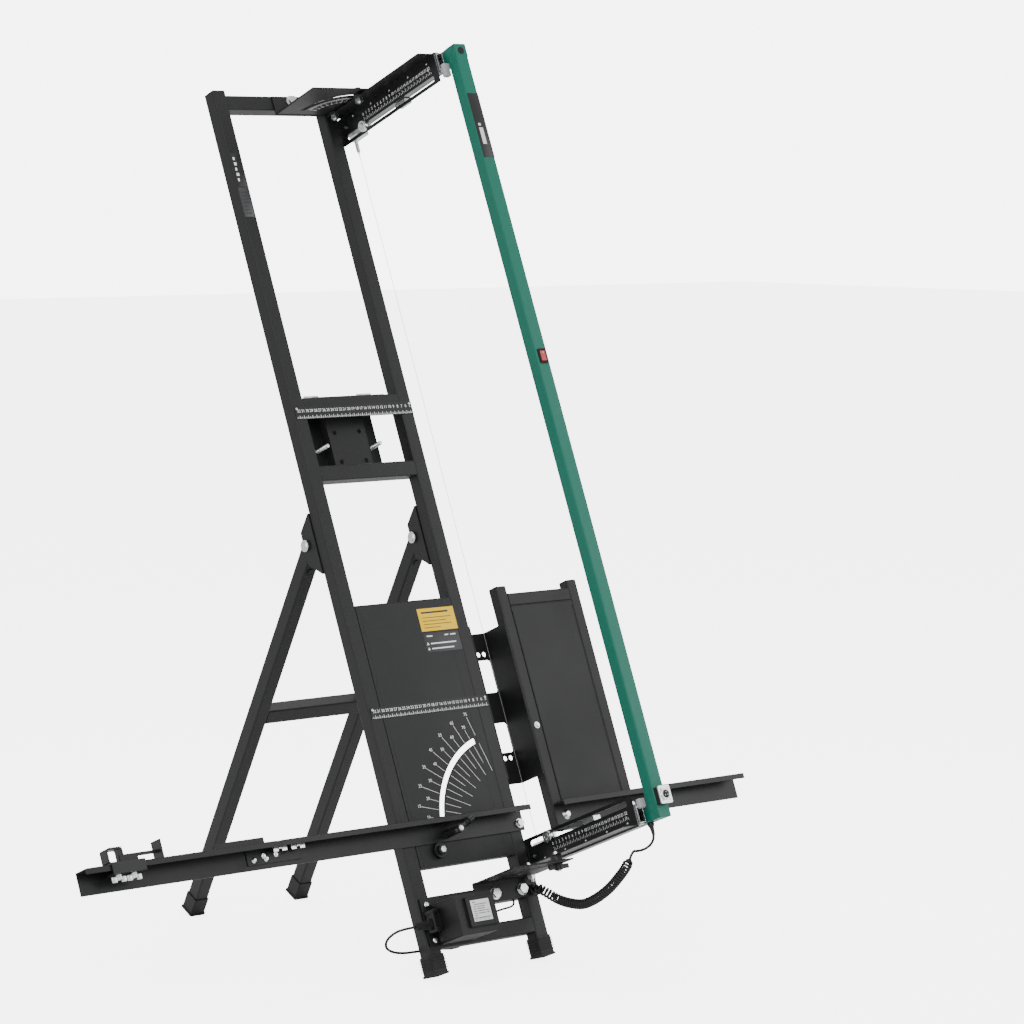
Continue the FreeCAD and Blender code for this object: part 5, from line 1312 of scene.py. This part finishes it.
class Leads(SubAssembly):
    """The mains cord with its coil and plug, and the three leads."""

    label = "leads"
    nodes = {}
    sizes = LeadSizes()
    coil = Coil()
    mains_board = ((-175, 91, 16), (-197, 91, 16), (-218, 88.5, 8), (-230, 79, -6), (-225, 67.5, -20),
                   (-204, 58.5, -31), (-173, 53.6, -36.3), (-140, 53.2, -36.8), (-112, 51, -37.2))
    mains_floor = ((-93.5, 80, 34), (-77, 99.5, 17), (-55, 127, 5.2), (-26, 161.5, 2.55), (6.6, 202.1, 2.55),
                   (28.1, 228.4, 2.55))
    short_route = ((-33, 92, 24), (-16, 92.3, 22.5), (6, 93.5, 16), (31, 96.5, 6.5), (57, 100, -3.5),
                   (80, 102, -11.5), (94, 106.5, -15), (94.5, 114.5, -15.2))
    curl_route = ((129, 126, 7), (129, 126, 21), (138, 111, 34), (147.5, 92, 50), (146.5, 76.5, 84),
                  (142.5, 65.5, 121), (139.5, 66.5, 163), (139.3, 74.5, 205), (134.3, 86.5, 244),
                  (134, 101, 277), (133.4, 114, 292.6))
    bow_route = ((184, 164, 314), (184, 151, 314), (181, 138, 315), (171.5, 128, 313.5), (157, 122, 310),
                 (143, 121.5, 304.5), (133.1, 123.5, 303.6), (133.39, 114.26, 292.9))

    def pieces(self) -> None:
        """Every cord, and what is on it."""
        self.mains()
        self.short()
        self.curly()
        self.upper()

    def coil_at(self, turn: float) -> tuple[float, float]:
        """The coil's radius and height after so many turns.

        Args:
            turn: Turns from where the cord meets the coil.

        Returns:
            Radius and height, in millimetres.
        """
        c = self.coil
        low, mid, top = c.levels
        stops = ((0, c.entry, low), (0.15, c.outer, low), (0.78, c.outer, low), (0.95, c.inner, low),
                 (1.9, c.inner, low), (2.1, c.inner, mid), (2.9, c.inner, mid), (3.1, c.outer, mid),
                 (3.9, c.outer, mid), (4.1, c.outer, top), (4.9, c.outer, top), (5.1, c.inner, top),
                 (6.0, c.inner, top))
        for (t0, r0, z0), (t1, r1, z1) in zip(stops, stops[1:]):
            if t0 <= turn <= t1:
                w = (turn - t0) / (t1 - t0)
                return r0 + (r1 - r0) * w, z0 + (z1 - z0) * w
        return c.inner, top

    def mains(self) -> None:
        """The mains cord: one curve from the strain relief, round its coil, to the plug."""
        c = self.coil
        points = [BOARD @ Vector(p) for p in self.mains_board] + [FLOOR @ Vector(p) for p in self.mains_floor]
        swell = 2 / (1 + math.cos(math.pi / c.per_turn))
        for i in range(1, int(c.turns * c.per_turn) + 1):
            turn = i / c.per_turn
            radius, height = self.coil_at(turn)
            a = math.radians(c.start) - math.tau * turn
            points.append(FLOOR @ Vector((c.centre[0] + swell * radius * math.cos(a),
                                          c.centre[1] + swell * radius * math.sin(a), height)))
        for side, along, height in ((25.5, -12, 13.6), (25.3, -28, 16.5), (18, -38, 19.5), (6, -38, 21.5),
                                    (0, -30, 22), (0, -16, 22)):
            points.append(self.by_plug(side, along, height))
        cord = nurbs("mains_cable", points, self.sizes.mains / 2000)
        cord.data.materials.append(self.paints["cord"])
        bpy.context.scene.collection.objects.link(cord)
        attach(cord, "root")
        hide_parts("mains_cord", "mains_coil")
        plug, tie = self.plug(), self.tie()
        BOARD @ Vector(self.mains_board[0])
        self.count += 1

    def by_plug(self, side: float, along: float, height: float) -> Vector:
        """A row-frame point placed across and along the plug from the coil's middle.

        Args:
            side: Millimetres across the plug.
            along: Millimetres along it, towards its pins.
            height: Millimetres above the floor.

        Returns:
            The point, in metres.
        """
        (hx, hy), (cx, cy) = self.coil.heading, self.coil.centre
        return FLOOR @ Vector((cx + hy * side + hx * along, cy - hx * side + hy * along, height))

    def plug(self) -> bpy.types.Object:
        """The flat two-pin plug with its grip, sleeve and pins."""
        shape = Shape(Matrix.Identity(4))
        hx, hy = self.coil.heading
        turn = Matrix(((hx, hy, 0, 0), (hy, -hx, 0, 0), (0, 0, 1, 0), (0, 0, 0, 1)))
        cx, cy = self.coil.centre
        shape.to_row = FLOOR @ Matrix.Translation((cx, cy, 0)) @ turn
        outline = [(-18, -7), (-14, -8.5), (-4, -11), (6, -16.4), (17, -17), (18, -16), (18, 16), (17, 17),
                   (6, 16.4), (-4, 11), (-14, 8.5), (-18, 7)]
        for grow, low, high in ((0.94, 15.1, 16.6), (1.0, 16.6, 27.4), (0.94, 27.4, 28.9)):
            shape.prism([(a * grow, b * grow) for a, b in outline], lambda a, b, h: (a, b, h), low, high)
        for k in range(4):
            shape.block((-12 + 3.4 * k, -6, 28.2), (-10.4 + 3.4 * k, 6, 29.2), 0.4)
        for k in range(5):
            shape.lathe((-18 - 3.2 * k, 0, 22), LEFT,
                        [(4.6 - 0.3 * k, 0), (4.8 - 0.3 * k, 1.6), (3.6 - 0.2 * k, 2.2),
                                                      (3.6 - 0.2 * k, 3.3)], 18)
        plug = shape.make("mains_plug_body", "cord", self.paints)
        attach(plug, "root")
        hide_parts("mains_plug")
        pins = Shape(Matrix.Identity(4))
        pins.to_row = FLOOR @ Matrix.Translation((cx, cy, 0)) @ turn
        for side in (-9.5, 9.5):
            pins.lathe((17.6, side, 22), X, [(2.0, 0), (2.0, 18.4), (1.5, 19.8), (0, 20.2)], 20)
        brass = pins.make("mains_plug_pins", "zinc", self.paints)
        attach(brass, "root")
        self.count += 2
        self.plug_pins = brass
        return plug

    def tie(self) -> bpy.types.Object:
        """A hook-and-loop band round the coil's bundle."""
        shape = Shape(FLOOR)
        cx, cy = self.coil.centre
        a = math.radians(60)
        out, along = Vector((math.cos(a), math.sin(a), 0)), Vector((-math.sin(a), math.cos(a), 0))
        inner, outer, top = 22.4, 33.5, 15.4
        corners = [(inner, 0.15), (outer, 0.15), (outer, top), (inner, top)]
        loops = []
        for w in (-5.0, 5.0):
            for grow in (0.0, 1.0):
                loops.append([shape.bm.verts.new(
                    Vector((cx, cy, 0)) + out * (r + grow * (1 if r > 28 else -1))
                    + along * w + Vector((0, 0, z + grow * (1 if z > 8 else -0.1))))
                              for r, z in corners])
        a_in, a_out, b_in, b_out = loops
        for i in range(4):
            j = (i + 1) % 4
            shape.bm.faces.new((a_out[i], a_out[j], b_out[j], b_out[i]))
            shape.bm.faces.new((a_in[j], a_in[i], b_in[i], b_in[j]))
            shape.bm.faces.new((a_in[i], a_in[j], a_out[j], a_out[i]))
            shape.bm.faces.new((b_in[j], b_in[i], b_out[i], b_out[j]))
        tie = shape.make("coil_tie", "cord", self.paints)
        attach(tie, "root")
        self.count += 1
        return tie

    def short(self) -> None:
        """The short lead from the transformer to the tube behind the gland."""
        points = [BOARD @ Vector(p) for p in self.short_route]
        lead = nurbs("transformer_short_lead", points, self.sizes.short / 2000)
        lead.data.materials.append(self.paints["cord"])
        bpy.context.scene.collection.objects.link(lead)
        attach(lead, "root")
        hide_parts("transformer_lead")
        points[0]
        self.count += 1

    def curly(self) -> None:
        """The curly lead: a helix along its hanging route."""
        s = self.sizes
        line = route_points([BOARD @ Vector(p) for p in self.curl_route])
        lengths = [0.0]
        for a, b in zip(line, line[1:]):
            lengths.append(lengths[-1] + (b - a).length)
        total = lengths[-1]
        wide = (s.curl - s.curl_wire) / 2000
        last = len(line) - 1
        tangents = [(line[min(i + 1, last)] - line[max(i - 1, 0)]).normalized() for i in range(last + 1)]
        plain, steps = s.curl_plain / 1000, s.curl_turns * s.curl_steps
        side, helix, k = None, [], 0
        for i in range(steps + 1):
            at = total * i / steps
            while k < len(lengths) - 2 and lengths[k + 1] < at:
                k += 1
            w = (at - lengths[k]) / max(lengths[k + 1] - lengths[k], 1e-9)
            here, along = line[k].lerp(line[k + 1], w), tangents[k].lerp(tangents[k + 1], w).normalized()
            side = along.orthogonal() if side is None else side - along * side.dot(along)
            side.normalize()
            across = along.cross(side)
            fade = min(1.0, at / plain, (total - at) / plain)
            r = wide * (fade * fade * (3 - 2 * fade))
            a = math.tau * s.curl_turns * i / steps
            helix.append(here + side * (r * math.cos(a)) + across * (r * math.sin(a)))
        shape = Shape(Matrix.Identity(4))
        shape.tube(helix, s.curl_wire / 2000, 9)
        obj = shape.make("curly_cable", "cord", self.paints, 60)
        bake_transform(obj)
        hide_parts("curly_lead")
        length = sum((b - a).length for a, b in zip(helix, helix[1:]))
        helix[0]
        self.count += 1
        log.info("curly lead: %.0f mm along, %.2f m of wire", total * 1000, length)

    def upper(self) -> None:
        """The plain lead from the curls to the bow."""
        s = self.sizes
        line = route_points([BOARD @ Vector(p) for p in self.bow_route])
        shape = Shape(Matrix.Identity(4))
        shape.tube(line, s.bow / 2000, 12)
        obj = shape.make("bow_cable", "cord", self.paints, 60)
        line[-1]
        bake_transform(obj)
        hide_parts("bow_lead")
        length = sum((b - a).length for a, b in zip(line, line[1:]))
        line[0]
        collar = Shape()
        collar.lathe((184, 164.2, 314), DOWN,
                     [(6.4, 0), (6.2, 2.2), (4.6, 3.4), (4.2, 8.0), (3.6, 8.6), (3.4, 14.0),
                                               (2.7, 20.0)], 24)
        self.add(collar, "bow_lead_relief", "cord", "bow")
        self.count += 1


# ---------------------------------------------------------------- accessory plate


class Accessory(SubAssembly):
    """The plate below the ruler bar, its studs and its clear wing knobs."""

    label = "accessory plate"
    nodes = {"accessory_plate": "frame", "wing_knobs": "clear"}

    def pieces(self) -> None:
        """Rims round the four holes, stud threads and the knobs' brass cores."""
        rims = Shape()
        for x in (-30, 30):
            for u in (1006, 1066):
                rims.lathe((x, u, -36.95), N, [(5.2, 0), (5.0, 0.35), (3.9, 0.4), (3.4, 0.1)], 24)
        self.add(rims, "accessory_hole_rims", "frame")
        threads = Shape()
        for x in (-64.5, 64.5):
            for k in range(24):
                threads.lathe((x, 1036, -60 + 1.45 * k), N, [(3.9, 0), (4.35, 0.45), (4.35, 0.8), (3.9, 1.2)],
                              18)
            threads.lathe((x, 1036, -24.1), N, [(4.0, 0), (3.2, 0.8), (0, 0.9)], 18)
        self.add(threads, "stud_threads", "zinc")
        cores = Shape()
        for x in (-64.5, 64.5):
            cores.lathe((x, 1127.1, -38), U, [(9.2, 0), (9.6, 0.4), (9.6, 1.5), (9.0, 1.9), (4, 1.9)], 28)
        self.add(cores, "wing_knob_washers", "zinc")


# ---------------------------------------------------------------- studio


@dataclass(frozen=True)
class Shot:
    """The camera and the light."""

    at: tuple[float, float, float] = (-4.24232, -5.35938, 1.48548)
    azimuth: float = -40.516
    elevation: float = 5.364
    roll: float = 0.174
    lens: float = 128.09
    sky: float = 1.0
    backdrop: float = 5.4
    floor_glow: float = 4.3


class Studio:
    """Pale floor, soft lights and the camera."""

    shot = Shot()

    def build(self) -> None:
        """Set all three up."""
        self.floor()
        self.lights()
        self.camera()
        log.info("studio ready")

    def floor(self) -> None:
        """A wide pale floor."""
        mesh = bpy.data.meshes.new("studio_floor")
        grid = bmesh.new()
        bmesh.ops.create_grid(grid, x_segments=8, y_segments=8, size=30)
        grid.to_mesh(mesh)
        grid.free()
        material = bpy.data.materials.new("studio_floor")
        material.use_nodes = True
        graph = NodeGraph(material.node_tree)
        shader, out = graph.add("ShaderNodeBsdfPrincipled"), graph.add("ShaderNodeOutputMaterial")
        shader.inputs["Base Color"].default_value = (0.9, 0.9, 0.9, 1)
        shader.inputs["Roughness"].default_value = 0.75
        shader.inputs["Specular IOR Level"].default_value = 0.2
        shader.inputs["Emission Color"].default_value = (1, 1, 1, 1)
        path = graph.add("ShaderNodeLightPath")
        graph.link(graph.math("MULTIPLY", path.outputs["Is Camera Ray"], self.shot.floor_glow),
                   shader.inputs["Emission Strength"])
        graph.link(shader.outputs[0], out.inputs["Surface"])
        mesh.materials.append(material)
        floor = bpy.data.objects.new("studio_floor", mesh)
        bpy.context.scene.collection.objects.link(floor)
        floor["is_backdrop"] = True

    def lights(self) -> None:
        """A bright sky and three large soft lamps."""
        world = bpy.data.worlds.new("studio")
        bpy.context.scene.world = world
        world.use_nodes = True
        graph = NodeGraph(world.node_tree)
        sky, out = graph.add("ShaderNodeBackground"), graph.add("ShaderNodeOutputWorld")
        sky.inputs["Color"].default_value = (1, 1, 1, 1)
        path = graph.add("ShaderNodeLightPath")
        seen = graph.math("MULTIPLY", path.outputs["Is Camera Ray"], self.shot.backdrop)
        graph.link(graph.math("ADD", seen, self.shot.sky), sky.inputs["Strength"])
        graph.link(sky.outputs[0], out.inputs["Surface"])
        for name, at, size, power in (("key", (-3.4, -3.6, 3.6), 2.6, 170),
                                      ("fill", (3.6, -3.2, 2.2), 3.0, 75),
                                      ("top", (0.4, 1.2, 4.4), 3.4, 120)):
            lamp = bpy.data.lights.new(name, "AREA")
            lamp.size, lamp.energy = size, power
            holder = bpy.data.objects.new(name, lamp)
            holder.location = at
            aim = Vector((0.05, 0.1, 0.75)) - Vector(at)
            holder.rotation_euler = aim.to_track_quat("-Z", "Y").to_euler()
            bpy.context.scene.collection.objects.link(holder)

    def camera(self) -> None:
        """The camera, at its measured place."""
        s = self.shot
        az, el, roll = (math.radians(v) for v in (s.azimuth, s.elevation, s.roll))
        back = Vector((math.sin(az) * math.cos(el), -math.cos(az) * math.cos(el), math.sin(el)))
        right = Vector((math.cos(az), math.sin(az), 0))
        up = back.cross(right)
        across = right * math.cos(roll) + up * math.sin(roll)
        top = up * math.cos(roll) - right * math.sin(roll)
        lens = bpy.data.cameras.new("camera")
        lens.lens, lens.sensor_width = s.lens, 36.0
        lens.clip_end = 100
        camera = bpy.data.objects.new("camera", lens)
        camera.matrix_world = Matrix(((across.x, top.x, back.x, s.at[0]), (across.y, top.y, back.y, s.at[1]),
                                      (across.z, top.z, back.z, s.at[2]), (0, 0, 0, 1)))
        bpy.context.scene.collection.objects.link(camera)
        bpy.context.scene.camera = camera


def plain(value: object) -> object:
    """Vectors as plain lists of numbers."""
    return float(value) if isinstance(value, (int, float)) else [plain(v) for v in value]


def main() -> None:
    """Load the frame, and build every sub-assembly and the studio."""
    logging.basicConfig(level=logging.INFO, format="%(name)s: %(message)s")
    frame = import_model()
    cad = plain(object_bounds())
    paints = Paints()
    for part in (Stand, Board, SideFrame, Rails, SwingBrackets, SwingArms, Bow, Power, Leads, Accessory):
        part(frame, paints).build()
    Studio().build()
    {"cad": cad, "visual": plain(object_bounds())}


if __name__ == "__main__":
    main()
